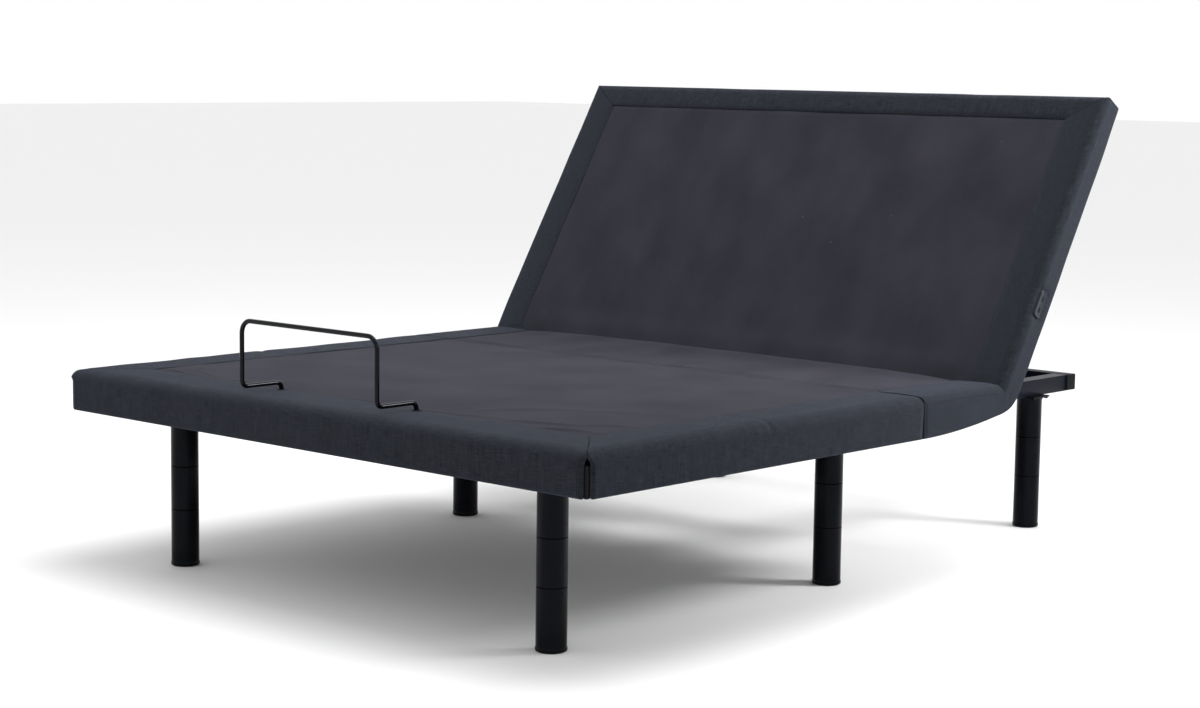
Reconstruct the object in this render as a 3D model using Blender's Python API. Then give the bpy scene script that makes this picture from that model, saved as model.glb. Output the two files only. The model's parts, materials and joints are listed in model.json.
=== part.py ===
"""Adjustable bed base: four upholstered deck sections on a steel frame, lifted by two linear actuators.

The object stands on Z = 0 with its foot end towards -Y, and X = 0 is its centre plane.
The rest pose has the head section raised and the other three sections level.
"""

import math

import bmesh
import bpy

# Driving dimensions, in metres
WIDTH = 1.515
FRAME_LENGTH = 2.013
DECK_TOP = 0.414
FOOT_LENGTH = 0.515
THIGH_LENGTH = 0.4986
SEAT_LENGTH = 0.295
HEAD_LENGTH = 0.721
HEAD_TILT = math.radians(58.5)
KNEE_SLANT = math.radians(18.5)

PAD = 0.024
BOARD = 0.0377
BORDER = 0.024
BORDER_DROP = 0.083
SEAT_BORDER_RISE = 0.030
GAP = 0.0003

PIVOT_DEPTH = 0.015
LEAF_NEAR = 0.011
LEAF_THICK = 0.003
KNUCKLE_RADIUS = 0.006
PIN_RADIUS = 0.003
PIN_BORE = 0.0036
KNUCKLE_LENGTH = 0.030
KNUCKLE_PLACES = (-0.5, 0.0, 0.5)

TUBE = 0.038
TUBE_WALL = 0.002
RAIL_X = 0.479
RAIL_TOP = 0.352
LEG_RADIUS = 0.0295
LEG_LIP = 0.001
LEG_JOINTS = (0.123, 0.216)
LEG_PLATE = 0.004
OUTER_LEG_X = 0.54
FRONT_LEG_Y, MIDDLE_LEG_Y, REAR_LEG_Y = 0.144, 0.984, 1.8455

HORN_LENGTH = 0.14
HORN_PLATE = 0.005
HORN_INNER = 0.0115
ACTUATOR_X = 0.12
HEAD_BASE = (0.925, 0.280)
FOOT_BASE = (1.455, 0.285)
ACTUATOR_PIN = 0.005
ROD_RADIUS = 0.010
SLEEVE_RADIUS = 0.016

LINK_X = 0.43
LINK_BASE = (0.93, 0.333)
BAR_RADIUS = 0.00475
BAR_HALF = 0.198
BAR_Y = 0.0205
BAR_LEG_Y = 0.123
BAR_RUN_Z = 0.438
BAR_TOP_Z = 0.5635

# Places that follow from them
FOOT_END = -FRAME_LENGTH / 2
PIVOT_Z = DECK_TOP - PIVOT_DEPTH
KNEE_Y = FOOT_END + FOOT_LENGTH
THIGH_Y = KNEE_Y + THIGH_LENGTH
HEAD_Y = THIGH_Y + SEAT_LENGTH
LEAF_FAR = LEAF_NEAR + LEAF_THICK
SECTION_GAP = LEAF_FAR + GAP
BORDER_GAP = 0.006
PAD_LOW = DECK_TOP - PAD
BOARD_LOW = PAD_LOW - BOARD
BORDER_LOW = DECK_TOP - BORDER_DROP
PAD_HALF = WIDTH / 2 - BORDER - GAP
BOARD_HALF = PAD_HALF - 0.004
LEG_TOP = RAIL_TOP - TUBE - GAP


def material(name, colour, roughness, metallic=0.0):
    """Return a Principled material, made once for each name."""
    found = bpy.data.materials.get(name)
    if found:
        return found
    made = bpy.data.materials.new(name)
    made.use_nodes = True
    shader = made.node_tree.nodes["Principled BSDF"]
    shader.inputs["Base Color"].default_value = (*colour, 1.0)
    shader.inputs["Roughness"].default_value = roughness
    shader.inputs["Metallic"].default_value = metallic
    return made


def gloss_black():
    return material("gloss_black_paint", (0.012, 0.013, 0.016), 0.22)


def frame_black():
    return material("frame_black_paint", (0.016, 0.018, 0.024), 0.45)


def border_cloth():
    return material("border_linen", (0.030, 0.034, 0.042), 0.9)


def deck_cloth():
    return material("deck_fabric", (0.042, 0.040, 0.048), 0.95)


def board_wood():
    return material("deck_board", (0.36, 0.27, 0.17), 0.8)


def dark_plastic():
    return material("dark_plastic", (0.02, 0.02, 0.022), 0.4)


def bright_steel():
    return material("bright_steel", (0.62, 0.63, 0.65), 0.3, 1.0)


def zinc_steel():
    return material("zinc_steel", (0.42, 0.43, 0.45), 0.4, 1.0)


def place_object(name, mesh_builder, finish, parent=None, location=(0, 0, 0), round_shape=False):
    """Turn a bmesh into a scene object with one material."""
    bmesh.ops.recalc_face_normals(mesh_builder, faces=mesh_builder.faces)
    mesh = bpy.data.meshes.new(name)
    mesh_builder.to_mesh(mesh)
    mesh_builder.free()
    mesh.materials.append(finish)
    if round_shape:
        mesh.shade_smooth()
        mesh.set_sharp_from_angle(angle=math.radians(35))
    made = bpy.data.objects.new(name, mesh)
    made.location = location
    made.parent = parent
    bpy.context.collection.objects.link(made)
    return made


def pivot_empty(name, location, rotation=(0, 0, 0), parent=None):
    """Make an empty on a joint's axis for the pieces that turn about it."""
    made = bpy.data.objects.new(name, None)
    made.location = location
    made.rotation_euler = rotation
    made.parent = parent
    bpy.context.collection.objects.link(made)
    return made


def boxes(*corner_pairs):
    """Return a bmesh of separate boxes, each from its (x, y, z) ranges."""
    built = bmesh.new()
    for (x0, x1), (y0, y1), (z0, z1) in corner_pairs:
        verts = bmesh.ops.create_cube(built, size=1)["verts"]
        bmesh.ops.scale(built, vec=(x1 - x0, y1 - y0, z1 - z0), verts=verts)
        centre = ((x0 + x1) / 2, (y0 + y1) / 2, (z0 + z1) / 2)
        bmesh.ops.translate(built, vec=centre, verts=verts)
    return built


def prisms(outline, *x_ranges):
    """Return a bmesh of one closed (y, z) outline extruded over each X range."""
    built = bmesh.new()
    for x0, x1 in x_ranges:
        face = built.faces.new([built.verts.new((x0, y, z)) for y, z in outline])
        grown = bmesh.ops.extrude_face_region(built, geom=[face])["geom"]
        moved = [item for item in grown if isinstance(item, bmesh.types.BMVert)]
        bmesh.ops.translate(built, vec=(x1 - x0, 0, 0), verts=moved)
    return built


def turned(profile, sides, axis="Z", centres=((0, 0, 0),)):
    """Return a bmesh of an (r, height) profile spun about an axis through each centre."""
    built = bmesh.new()
    for centre in centres:
        rings = []
        for radius, height in profile:
            ring = []
            for step in range(sides):
                angle = 2 * math.pi * step / sides
                across, along = radius * math.cos(angle), radius * math.sin(angle)
                spot = (across, along, height) if axis == "Z" else (height, across, along)
                if axis == "Y":
                    spot = (along, height, across)
                ring.append(built.verts.new([a + b for a, b in zip(spot, centre)]))
            rings.append(ring)
        for lower, upper in zip(rings, rings[1:]):
            for step in range(sides):
                after = (step + 1) % sides
                built.faces.new((lower[step], lower[after], upper[after], upper[step]))
        built.faces.new(rings[0][::-1])
        built.faces.new(rings[-1])
    return built


def use_tool(target, name, shape, operation):
    """Join a shape to a target, or cut it away, with an exact Boolean."""
    tool = place_object(target.name + name, shape, target.data.materials[0], target.parent, target.location)
    tool.hide_render = True
    tool.display_type = "WIRE"
    step = target.modifiers.new(name.strip("_"), "BOOLEAN")
    step.operation = operation
    step.object = tool
    step.solver = "EXACT"
    return tool


def add_shape(target, name, shape):
    return use_tool(target, "_add_" + name, shape, "UNION")


def cut_shape(target, name, shape):
    return use_tool(target, "_cut_" + name, shape, "DIFFERENCE")


def knee_setback(z):
    """How far a section's end leans back from the knee at this height."""
    return max(0.0, PIVOT_Z - z) * math.tan(KNEE_SLANT)


def section_outline(y0, y1, z0, z1, knee_end=None):
    """Return a deck section's (y, z) outline, leaning back at a knee end ("low" or "high" Y)."""
    heights = [z0, PIVOT_Z, z1] if z0 < PIVOT_Z < z1 else [z0, z1]
    low = [(y0 + (knee_setback(z) if knee_end == "low" else 0.0), z) for z in heights]
    high = [(y1 - (knee_setback(z) if knee_end == "high" else 0.0), z) for z in heights]
    return high + low[::-1]


def square_tube(name, axis, low, high, centre_a, centre_b):
    """Make a hollow square tube along X or Y; the centres are its middle on the other two axes."""
    def solid(half, start, end):
        span_a, span_b = (centre_a - half, centre_a + half), (centre_b - half, centre_b + half)
        return boxes(((start, end), span_a, span_b) if axis == "X" else (span_a, (start, end), span_b))

    tube = place_object(name, solid(TUBE / 2, low, high), frame_black())
    cut_shape(tube, "bore", solid(TUBE / 2 - TUBE_WALL, low - 0.01, high + 0.01))
    return tube


def actuator_bracket(tube, x, tube_edge, tube_z, pivot):
    """Add a clevis to a crossbar: two ears that reach from the bar to a pivot, and its pin."""
    y, z = pivot
    reach = 1 if y > tube_edge else -1
    root = tube_edge - reach * 0.001
    weld = TUBE / 2 - 0.002
    outline = [(root, max(z - 0.014, tube_z - weld)), (root, min(z + 0.036, tube_z + weld)),
               (y, z + 0.014), (y + reach * 0.012, z + 0.006), (y + reach * 0.012, z - 0.008), (y, z - 0.014)]
    ears = prisms(outline, (x - 0.0145, x - 0.0095), (x + 0.0095, x + 0.0145))
    add_shape(tube, "ears", ears)
    pin = turned([(ACTUATOR_PIN, -0.018), (ACTUATOR_PIN, 0.018)], 20, "X", [(x, y, z)])
    add_shape(tube, "pin", pin)


def build_frame():
    """Rails, crossbars and the outriggers that carry the middle legs."""
    centre_z = RAIL_TOP - TUBE / 2
    under_z = centre_z - TUBE - GAP
    half = TUBE / 2
    rail_start = FOOT_END + FRONT_LEG_Y + half + GAP
    rail_end = -FOOT_END - TUBE - GAP
    for side, name in ((-1, "rail_left"), (1, "rail_right")):
        rail = square_tube(name, "Y", rail_start, rail_end, side * RAIL_X, centre_z)
        boss_x = sorted((side * (RAIL_X - half + 0.001), side * (LINK_X + 0.004)))
        pin_x = sorted((side * (RAIL_X - half + 0.001), side * (LINK_X - 0.012)))
        place = [(0, FOOT_END + LINK_BASE[0], LINK_BASE[1])]
        add_shape(rail, "boss", turned([(0.009, boss_x[0]), (0.009, boss_x[1])], 20, "X", place))
        add_shape(rail, "link_pin", turned([(0.005, pin_x[0]), (0.005, pin_x[1])], 20, "X", place))
        outrigger_x = sorted((side * (RAIL_X + half + GAP), side * (OUTER_LEG_X + 0.045)))
        square_tube(name.replace("rail", "middle_outrigger"), "X", *outrigger_x,
                    FOOT_END + MIDDLE_LEG_Y, centre_z)
    square_tube("foot_crossbar", "X", -OUTER_LEG_X - 0.045, OUTER_LEG_X + 0.045,
                FOOT_END + FRONT_LEG_Y, centre_z)
    square_tube("head_crossbar", "X", -RAIL_X - half, RAIL_X + half, -FOOT_END - half, centre_z)
    seat_y = FOOT_END + 0.870
    seat_bar = square_tube("seat_crossbar", "X", -RAIL_X - half, RAIL_X + half, seat_y, under_z)
    actuator_bracket(seat_bar, ACTUATOR_X, seat_y + half, under_z, (FOOT_END + HEAD_BASE[0], HEAD_BASE[1]))
    lift_y = FOOT_END + 1.500
    inner = RAIL_X - half - GAP
    lift_bar = square_tube("motor_crossbar", "X", -inner, inner, lift_y, centre_z)
    actuator_bracket(lift_bar, -ACTUATOR_X, lift_y - half, centre_z, (FOOT_END + FOOT_BASE[0], FOOT_BASE[1]))


def leg_profile(bottom, top, socket, stud, lip):
    """Return the (r, height) profile of one screwed leg section."""
    stud_radius, socket_radius, depth = 0.008, 0.0084, 0.014
    profile = [(socket_radius, bottom + depth + 0.002), (socket_radius, bottom)] if socket else []
    if lip:
        profile += [(LEG_RADIUS + LEG_LIP - 0.002, bottom), (LEG_RADIUS + LEG_LIP, bottom + 0.002),
                    (LEG_RADIUS + LEG_LIP, bottom + 0.008), (LEG_RADIUS, bottom + 0.010)]
    else:
        profile += [(LEG_RADIUS, bottom)]
    profile += [(LEG_RADIUS, top)]
    if stud:
        profile += [(stud_radius, top), (stud_radius, top + depth)]
    return profile


def build_legs():
    """Six legs, each of three screwed sections; the top one ends in a square bolting plate."""
    spots = {"front": (OUTER_LEG_X, FRONT_LEG_Y), "middle": (OUTER_LEG_X, MIDDLE_LEG_Y),
             "rear": (RAIL_X, REAR_LEG_Y)}
    low, high = LEG_JOINTS
    for row, (x, y) in spots.items():
        for side, hand in ((-1, "left"), (1, "right")):
            centre = (side * x, FOOT_END + y, 0)
            levels = (("bottom", 0.0, low - GAP, False, True, True), ("middle", low, high - GAP, True, True, False),
                      ("top", high, LEG_TOP - LEG_PLATE, True, False, False))
            for level, bottom, top, socket, stud, lip in levels:
                shape = turned(leg_profile(bottom, top, socket, stud, lip), 28)
                leg = place_object(f"leg_{row}_{hand}_{level}", shape, gloss_black(), None, centre, True)
            reach = 0.036 if row != "rear" else 0.034
            plate = boxes(((-reach, reach), (-reach, reach), (LEG_TOP - LEG_PLATE - 0.001, LEG_TOP)))
            add_shape(leg, "plate", plate)


def hinge_leaf(name, pivot, side, low_z, ring, parent=None, slant=False):
    """Make one leaf of a deck hinge. side is +1 for a leaf on the +Y side of its pivot."""
    y, z = pivot
    heights = (z + 0.005, z, z - low_z)
    lean = [knee_setback(PIVOT_Z + height - z) if slant else 0.0 for height in heights]
    near = [(y + side * (LEAF_NEAR + back), height) for back, height in zip(lean, heights)]
    far = [(y + side * (LEAF_FAR + back), height) for back, height in zip(lean, heights)]
    leaf = place_object(name, prisms(near + far[::-1], (-0.70, 0.70)), zinc_steel(), parent)
    half, step = KNUCKLE_LENGTH / 2, KNUCKLE_LENGTH + 0.0005
    offsets = (0.0,) if ring else (-step, step)
    centres = [(place + offset, y, z) for place in KNUCKLE_PLACES for offset in offsets]
    web_y = sorted((y + side * 0.0045, y + side * (LEAF_NEAR + 0.001)))
    webs = [((x - half, x + half), web_y, (z - 0.004, z + 0.002)) for x, _, _ in centres]
    add_shape(leaf, "webs", boxes(*webs))
    if ring:
        barrel = [(KNUCKLE_RADIUS, -half), (KNUCKLE_RADIUS, half)]
        add_shape(leaf, "barrels", turned(barrel, 16, "X", centres))
        bore = [(PIN_BORE, -half - 0.002), (PIN_BORE, half + 0.002)]
        cut_shape(leaf, "bores", turned(bore, 16, "X", centres))
    else:
        near_end, far_end = step - half, step + half
        barrel = [(KNUCKLE_RADIUS, -far_end), (KNUCKLE_RADIUS, -near_end), (PIN_RADIUS, -near_end),
                  (PIN_RADIUS, near_end), (KNUCKLE_RADIUS, near_end), (KNUCKLE_RADIUS, far_end)]
        places = [(place, y, z) for place in KNUCKLE_PLACES]
        add_shape(leaf, "barrels", turned(barrel, 16, "X", places))
    return leaf


def slot_outline(pivot, inner, outer, half_width):
    """Return a radial slot's round-ended (y, z) outline below a pivot."""
    y, z = pivot
    turn = [math.pi * step / 8 for step in range(9)]
    low = [(y - half_width * math.cos(a), z - outer - half_width * math.sin(a)) for a in turn]
    high = [(y + half_width * math.cos(a), z - inner + half_width * math.sin(a)) for a in turn]
    return low + high


def add_horn(leaf, pivot, side, x, slot_inner, slot_half):
    """Add the slotted lifting horn, two plates with an actuator's rod end between them."""
    y, z = pivot
    tip = 0.019
    arc = [math.radians(angle) for angle in range(150, 391, 24)]
    end = [(y + side * tip * math.cos(a), z - HORN_LENGTH + tip * math.sin(a)) for a in arc]
    under = PIVOT_Z - BOARD_LOW + GAP
    outline = end + [(y + side * 0.080, z - under - 0.012), (y + side * 0.080, z - under),
                     (y + side * (LEAF_FAR - 0.001), z - under), (y + side * (LEAF_NEAR + 0.0005), z - under + 0.020),
                     (y + side * (LEAF_NEAR + 0.0005), z - under - 0.004)]
    near, far = HORN_INNER, HORN_INNER + HORN_PLATE
    add_shape(leaf, "horn", prisms(outline, (x - far, x - near), (x + near, x + far)))
    slot = slot_outline(pivot, slot_inner, HORN_LENGTH + 0.0025, slot_half)
    cut_shape(leaf, "slot", prisms(slot, (x - far - 0.01, x + far + 0.01)))


def deck_board(name, y0, y1, knee_end=None):
    outline = section_outline(y0, y1, BOARD_LOW, PAD_LOW - GAP, knee_end)
    return place_object(name, prisms(outline, (-BOARD_HALF, BOARD_HALF)), board_wood())


def deck_pad(name, y0, y1, knee_end=None):
    outline = section_outline(y0, y1, PAD_LOW, DECK_TOP, knee_end)
    return place_object(name, prisms(outline, (-PAD_HALF, PAD_HALF)), deck_cloth())


def side_borders(name, outline):
    for side, hand in ((-1, "left"), (1, "right")):
        span = sorted((side * (WIDTH / 2 - BORDER), side * WIDTH / 2))
        place_object(f"{name}_border_{hand}", prisms(outline, span), border_cloth())


def bar_socket_places():
    return [(side * BAR_HALF, FOOT_END + BAR_LEG_Y, 0) for side in (-1, 1)]


def build_foot_section():
    """The foot section with its end border and the sockets of the retainer bar."""
    start = FOOT_END + BORDER + GAP
    board = deck_board("foot_board", start, KNEE_Y - SECTION_GAP, "high")
    pad = deck_pad("foot_pad", start, KNEE_Y - SECTION_GAP, "high")
    places = bar_socket_places()
    cut_shape(board, "sockets", turned([(0.0085, 0.356), (0.0085, 0.395)], 20, "Z", places))
    cut_shape(pad, "sockets", turned([(0.0095, 0.385), (0.0095, 0.42)], 20, "Z", places))
    plate_y = (FOOT_END + BAR_LEG_Y - 0.015, FOOT_END + BAR_LEG_Y + 0.015)
    plate_x = (-BAR_HALF - 0.03, BAR_HALF + 0.03)
    recess = boxes(((plate_x[0] - GAP, plate_x[1] + GAP), (plate_y[0] - GAP, plate_y[1] + GAP),
                    (PAD_LOW - 0.01, PAD_LOW + 0.004)))
    cut_shape(pad, "recess", recess)
    bracket = place_object("bar_bracket", boxes((plate_x, plate_y, (PAD_LOW, PAD_LOW + 0.0035))), zinc_steel())
    add_shape(bracket, "tubes", turned([(0.008, 0.3575), (0.008, PAD_LOW + 0.003)], 20, "Z", places))
    cut_shape(bracket, "bores", turned([(0.0056, 0.35), (0.0056, 0.41)], 20, "Z", places))
    side_borders("foot", section_outline(start, KNEE_Y - BORDER_GAP, BORDER_LOW, DECK_TOP, "high"))
    end_span = ((-WIDTH / 2, WIDTH / 2), (FOOT_END, FOOT_END + BORDER), (BORDER_LOW, DECK_TOP))
    place_object("foot_border_end", boxes(end_span), border_cloth())


def build_thigh_section():
    board = deck_board("thigh_board", KNEE_Y + SECTION_GAP, THIGH_Y - SECTION_GAP, "low")
    deck_pad("thigh_pad", KNEE_Y + SECTION_GAP, THIGH_Y - SECTION_GAP, "low")
    side_borders("thigh", section_outline(KNEE_Y + BORDER_GAP, THIGH_Y - BORDER_GAP, BORDER_LOW, DECK_TOP, "low"))
    return board


def seat_border_outline():
    """Return the seat border's side, whose lower edge sweeps up towards the head hinge."""
    start, end = THIGH_Y + BORDER_GAP, HEAD_Y - SECTION_GAP
    steps = 8
    lower = []
    for step in range(steps + 1):
        part = step / steps
        lower.append((start + part * (end - start), BORDER_LOW + SEAT_BORDER_RISE * part * part))
    return lower + [(end, DECK_TOP), (start, DECK_TOP)]


def build_seat_section():
    """The fixed seat section, with the control box and power supply under its board."""
    deck_board("seat_board", THIGH_Y + SECTION_GAP, HEAD_Y - SECTION_GAP)
    deck_pad("seat_pad", THIGH_Y + SECTION_GAP, HEAD_Y - SECTION_GAP)
    side_borders("seat", seat_border_outline())
    under = BOARD_LOW - GAP
    middle = (THIGH_Y + HEAD_Y) / 2
    control = boxes(((0.21, 0.37), (middle - 0.06, middle + 0.06), (under - 0.042, under)))
    place_object("control_box", control, dark_plastic())
    supply = boxes(((-0.35, -0.23), (middle - 0.045, middle + 0.045), (under - 0.048, under)))
    box = place_object("power_supply", supply, dark_plastic())
    inlet = boxes(((-0.303, -0.277), (middle - 0.05, middle - 0.037), (under - 0.036, under - 0.012)))
    cut_shape(box, "inlet", inlet)


def build_head_section(head):
    """The raised head section, in the flat frame of its pivot, with the charging socket's pocket."""
    low, high, end = PIVOT_DEPTH - PAD - BOARD, PIVOT_DEPTH - PAD, HEAD_LENGTH
    inset, half = 0.012, WIDTH / 2
    pad_box = ((-half, half), (SECTION_GAP, end), (high, PIVOT_DEPTH))
    board_box = ((-half + inset, half - inset), (SECTION_GAP, end - inset), (low, high - GAP))
    pad = place_object("head_pad", boxes(pad_box), deck_cloth(), head)
    board = place_object("head_board", boxes(board_box), board_wood(), head)
    middle, depth = 0.2144, high
    length, height = 0.060, 0.024
    plate = ((half - 0.003, half), (middle - length / 2, middle + length / 2), (depth - height / 2, depth + height / 2))
    housing = ((half - 0.022, half - 0.002), (middle - 0.026, middle + 0.026), (depth - 0.009, depth + 0.009))

    def grown(span):
        return [(low_end - 0.0004, high_end + 0.0004) for low_end, high_end in span]

    for panel in (pad, board):
        cut_shape(panel, "plate_pocket", boxes(grown(plate)))
        cut_shape(panel, "housing_pocket", boxes(grown(housing)))
    socket = place_object("usb_socket", boxes(plate), dark_plastic(), head)
    add_shape(socket, "housing", boxes(housing))


def build_hinges(head):
    """Six hinge leaves: two at the head, two at the thigh and two at the knee."""
    depth = PIVOT_Z - BOARD_LOW
    hinge_leaf("seat_hinge_rear_leaf", (HEAD_Y, PIVOT_Z), -1, depth, True)
    horn_leaf = hinge_leaf("head_hinge_leaf", (0.0, 0.0), 1, depth, False, head)
    add_horn(horn_leaf, (0.0, 0.0), 1, ACTUATOR_X, 0.1255, 0.0082)
    hinge_leaf("seat_hinge_front_leaf", (THIGH_Y, PIVOT_Z), 1, depth, True)
    thigh_leaf = hinge_leaf("thigh_hinge_leaf", (THIGH_Y, PIVOT_Z), -1, depth, False)
    add_horn(thigh_leaf, (THIGH_Y, PIVOT_Z), -1, -ACTUATOR_X, 0.1335, 0.0066)
    hinge_leaf("knee_hinge_thigh_leaf", (KNEE_Y, PIVOT_Z), 1, depth, True, None, True)
    foot_leaf = hinge_leaf("knee_hinge_foot_leaf", (KNEE_Y, PIVOT_Z), -1, depth, False, None, True)
    add_link_ears(foot_leaf)


def add_link_ears(leaf):
    """Add a flange under the foot board, with an ear and a pin for each link."""
    link_y = KNEE_Y + FOOT_END + LINK_BASE[0] - THIGH_Y
    back = KNEE_Y - LEAF_NEAR - knee_setback(BOARD_LOW) - 0.0004
    front = back - LEAF_THICK + 0.0018
    flange_z = (BOARD_LOW - 0.003, BOARD_LOW - GAP)
    for side in (-1, 1):
        ear_x = sorted((side * (LINK_X - 0.012), side * (LINK_X - 0.007)))
        flange_x = sorted((side * (LINK_X - 0.045), side * (LINK_X - 0.007)))
        add_shape(leaf, f"riser_{side}", boxes((flange_x, (front, back), (flange_z[0], BOARD_LOW + 0.003))))
        add_shape(leaf, f"shelf_{side}", boxes((flange_x, (link_y - 0.012, back - 0.0003), flange_z)))
        ear = (ear_x, (link_y - 0.012, link_y + 0.012), (LINK_BASE[1] - 0.012, flange_z[1] - 0.001))
        add_shape(leaf, f"ear_{side}", boxes(ear))
        pin_x = sorted((side * (LINK_X - 0.011), side * (LINK_X + 0.012)))
        pin = turned([(0.005, pin_x[0]), (0.005, pin_x[1])], 20, "X", [(0, link_y, LINK_BASE[1])])
        add_shape(leaf, f"pin_{side}", pin)


def build_links():
    """The two links that keep the foot section level while the thigh section rises."""
    base = FOOT_END + LINK_BASE[0]
    for side, hand in ((-1, "left"), (1, "right")):
        pivot = pivot_empty(f"foot_link_pivot_{hand}", (side * LINK_X, base, LINK_BASE[1]))
        bar = boxes(((-0.0025, 0.0025), (-THIGH_LENGTH, 0.0), (-0.007, 0.007)))
        link = place_object(f"foot_link_{hand}", bar, frame_black(), pivot)
        ends = [(0, 0, 0), (0, -THIGH_LENGTH, 0)]
        add_shape(link, "eyes", turned([(0.0105, -0.0025), (0.0105, 0.0025)], 20, "X", ends))
        cut_shape(link, "holes", turned([(0.0056, -0.01), (0.0056, 0.01)], 20, "X", ends))


def round_corner(before, corner, after, radius, steps):
    """Return the points of a circular bend that replaces a right-angled corner."""
    to_before = [(b - c) / math.dist(before, corner) for b, c in zip(before, corner)]
    to_after = [(a - c) / math.dist(after, corner) for a, c in zip(after, corner)]
    centre = [c + radius * (p + q) for c, p, q in zip(corner, to_before, to_after)]
    points = []
    for step in range(steps + 1):
        angle = math.pi / 2 * step / steps
        spot = [m - radius * (q * math.cos(angle) + p * math.sin(angle))
                for m, p, q in zip(centre, to_before, to_after)]
        points.append(tuple(spot))
    return points


def build_retainer_bar():
    """The bent rod that keeps the mattress from sliding off the foot end."""
    post, leg = FOOT_END + BAR_Y, FOOT_END + BAR_LEG_Y
    half = [(-BAR_HALF, leg, 0.362), (-BAR_HALF, leg, BAR_RUN_Z), (-BAR_HALF, post, BAR_RUN_Z),
            (-BAR_HALF, post, BAR_TOP_Z)]
    corners = half + [(-x, y, z) for x, y, z in reversed(half)]
    radii = [0.012, 0.012, 0.025, 0.025, 0.012, 0.012]
    points = [corners[0]]
    for index, radius in enumerate(radii, start=1):
        points += round_corner(corners[index - 1], corners[index], corners[index + 1], radius, 5)
    points.append(corners[-1])
    curve = bpy.data.curves.new("retainer_bar", "CURVE")
    curve.dimensions = "3D"
    spline = curve.splines.new("POLY")
    spline.points.add(len(points) - 1)
    for knot, spot in zip(spline.points, points):
        knot.co = (*spot, 1.0)
    curve.bevel_depth = BAR_RADIUS
    curve.bevel_resolution = 3
    curve.use_fill_caps = True
    curve.materials.append(gloss_black())
    bpy.context.collection.objects.link(bpy.data.objects.new("retainer_bar", curve))


def build_actuator(name, base, tip, retracted, x, facing):
    """Make one actuator along its own +Y: body, motor and rod. facing is +1 or -1 along Y."""
    length = math.dist(base, tip)
    slope = math.atan2(tip[1] - base[1], facing * (tip[0] - base[0]))
    turn = 0.0 if facing > 0 else math.pi
    pivot = pivot_empty(name + "_pivot", (x, base[0], base[1]), (slope, 0, turn))
    body_shape = boxes(((-0.027, 0.027), (0.022, 0.115), (-0.030, 0.026)))
    body = place_object(name, body_shape, dark_plastic(), pivot)
    add_shape(body, "tail", boxes(((-0.0079, 0.0079), (0.0045, 0.03), (-0.0095, 0.0095))))
    add_shape(body, "eye", turned([(0.0125, -0.0082), (0.0125, 0.0082)], 24, "X"))
    cut_shape(body, "hole", turned([(ACTUATOR_PIN + 0.0005, -0.01), (ACTUATOR_PIN + 0.0005, 0.01)], 24, "X"))
    sleeve_end = retracted - 0.040
    add_shape(body, "sleeve", turned([(SLEEVE_RADIUS, 0.10), (SLEEVE_RADIUS, sleeve_end)], 28, "Y"))
    bore = turned([(ROD_RADIUS + 0.001, 0.112), (ROD_RADIUS + 0.001, sleeve_end + 0.01)], 28, "Y")
    cut_shape(body, "bore", bore)
    motor_profile = [(0.022, -0.128), (0.0255, -0.1245), (0.0255, -0.0273)]
    place_object(name.replace("actuator", "motor"), turned(motor_profile, 28, "X"), dark_plastic(), pivot,
                 (0, 0.068, -0.002), True)
    rod_start = length - (retracted - 0.120)
    rod_shape = turned([(ROD_RADIUS, rod_start), (ROD_RADIUS, length - 0.012)], 28, "Y")
    rod = place_object(name + "_rod", rod_shape, bright_steel(), pivot)
    add_shape(rod, "flat", boxes(((-0.0065, 0.0065), (length - 0.028, length), (-0.0095, 0.0095))))
    add_shape(rod, "eye", turned([(0.0115, -0.0065), (0.0115, 0.0065)], 24, "X", [(0, length, 0)]))
    add_shape(rod, "pin", turned([(ACTUATOR_PIN, -0.020), (ACTUATOR_PIN, 0.020)], 24, "X", [(0, length, 0)]))


def horn_tip(pivot_y, tilt):
    """Where a horn's tip stands when its section has turned by this angle about +X."""
    return (pivot_y + HORN_LENGTH * math.sin(tilt), PIVOT_Z - HORN_LENGTH * math.cos(tilt))


def build_actuators():
    head_base = (FOOT_END + HEAD_BASE[0], HEAD_BASE[1])
    head_retracted = math.dist(head_base, horn_tip(HEAD_Y, 0.0))
    build_actuator("head_actuator", head_base, horn_tip(HEAD_Y, HEAD_TILT), head_retracted, ACTUATOR_X, 1)
    foot_base = (FOOT_END + FOOT_BASE[0], FOOT_BASE[1])
    foot_tip = horn_tip(THIGH_Y, 0.0)
    build_actuator("foot_actuator", foot_base, foot_tip, math.dist(foot_base, foot_tip), -ACTUATOR_X, -1)


def clear_scene():
    for item in list(bpy.data.objects):
        bpy.data.objects.remove(item, do_unlink=True)


def main():
    clear_scene()
    head = pivot_empty("head_pivot", (0, HEAD_Y, PIVOT_Z), (HEAD_TILT, 0, 0))
    build_frame()
    build_legs()
    build_foot_section()
    build_thigh_section()
    build_seat_section()
    build_head_section(head)
    build_hinges(head)
    build_links()
    build_retainer_bar()
    build_actuators()


main()
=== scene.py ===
"""Looks of an adjustable bed base: upholstery, lacquered frame, legs and lifting gear."""

from __future__ import annotations

import json
import logging
import math
from collections.abc import Callable, Sequence
from dataclasses import dataclass, field
from enum import Enum

import bmesh
import bpy
from mathutils import Matrix, Vector, noise

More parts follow.
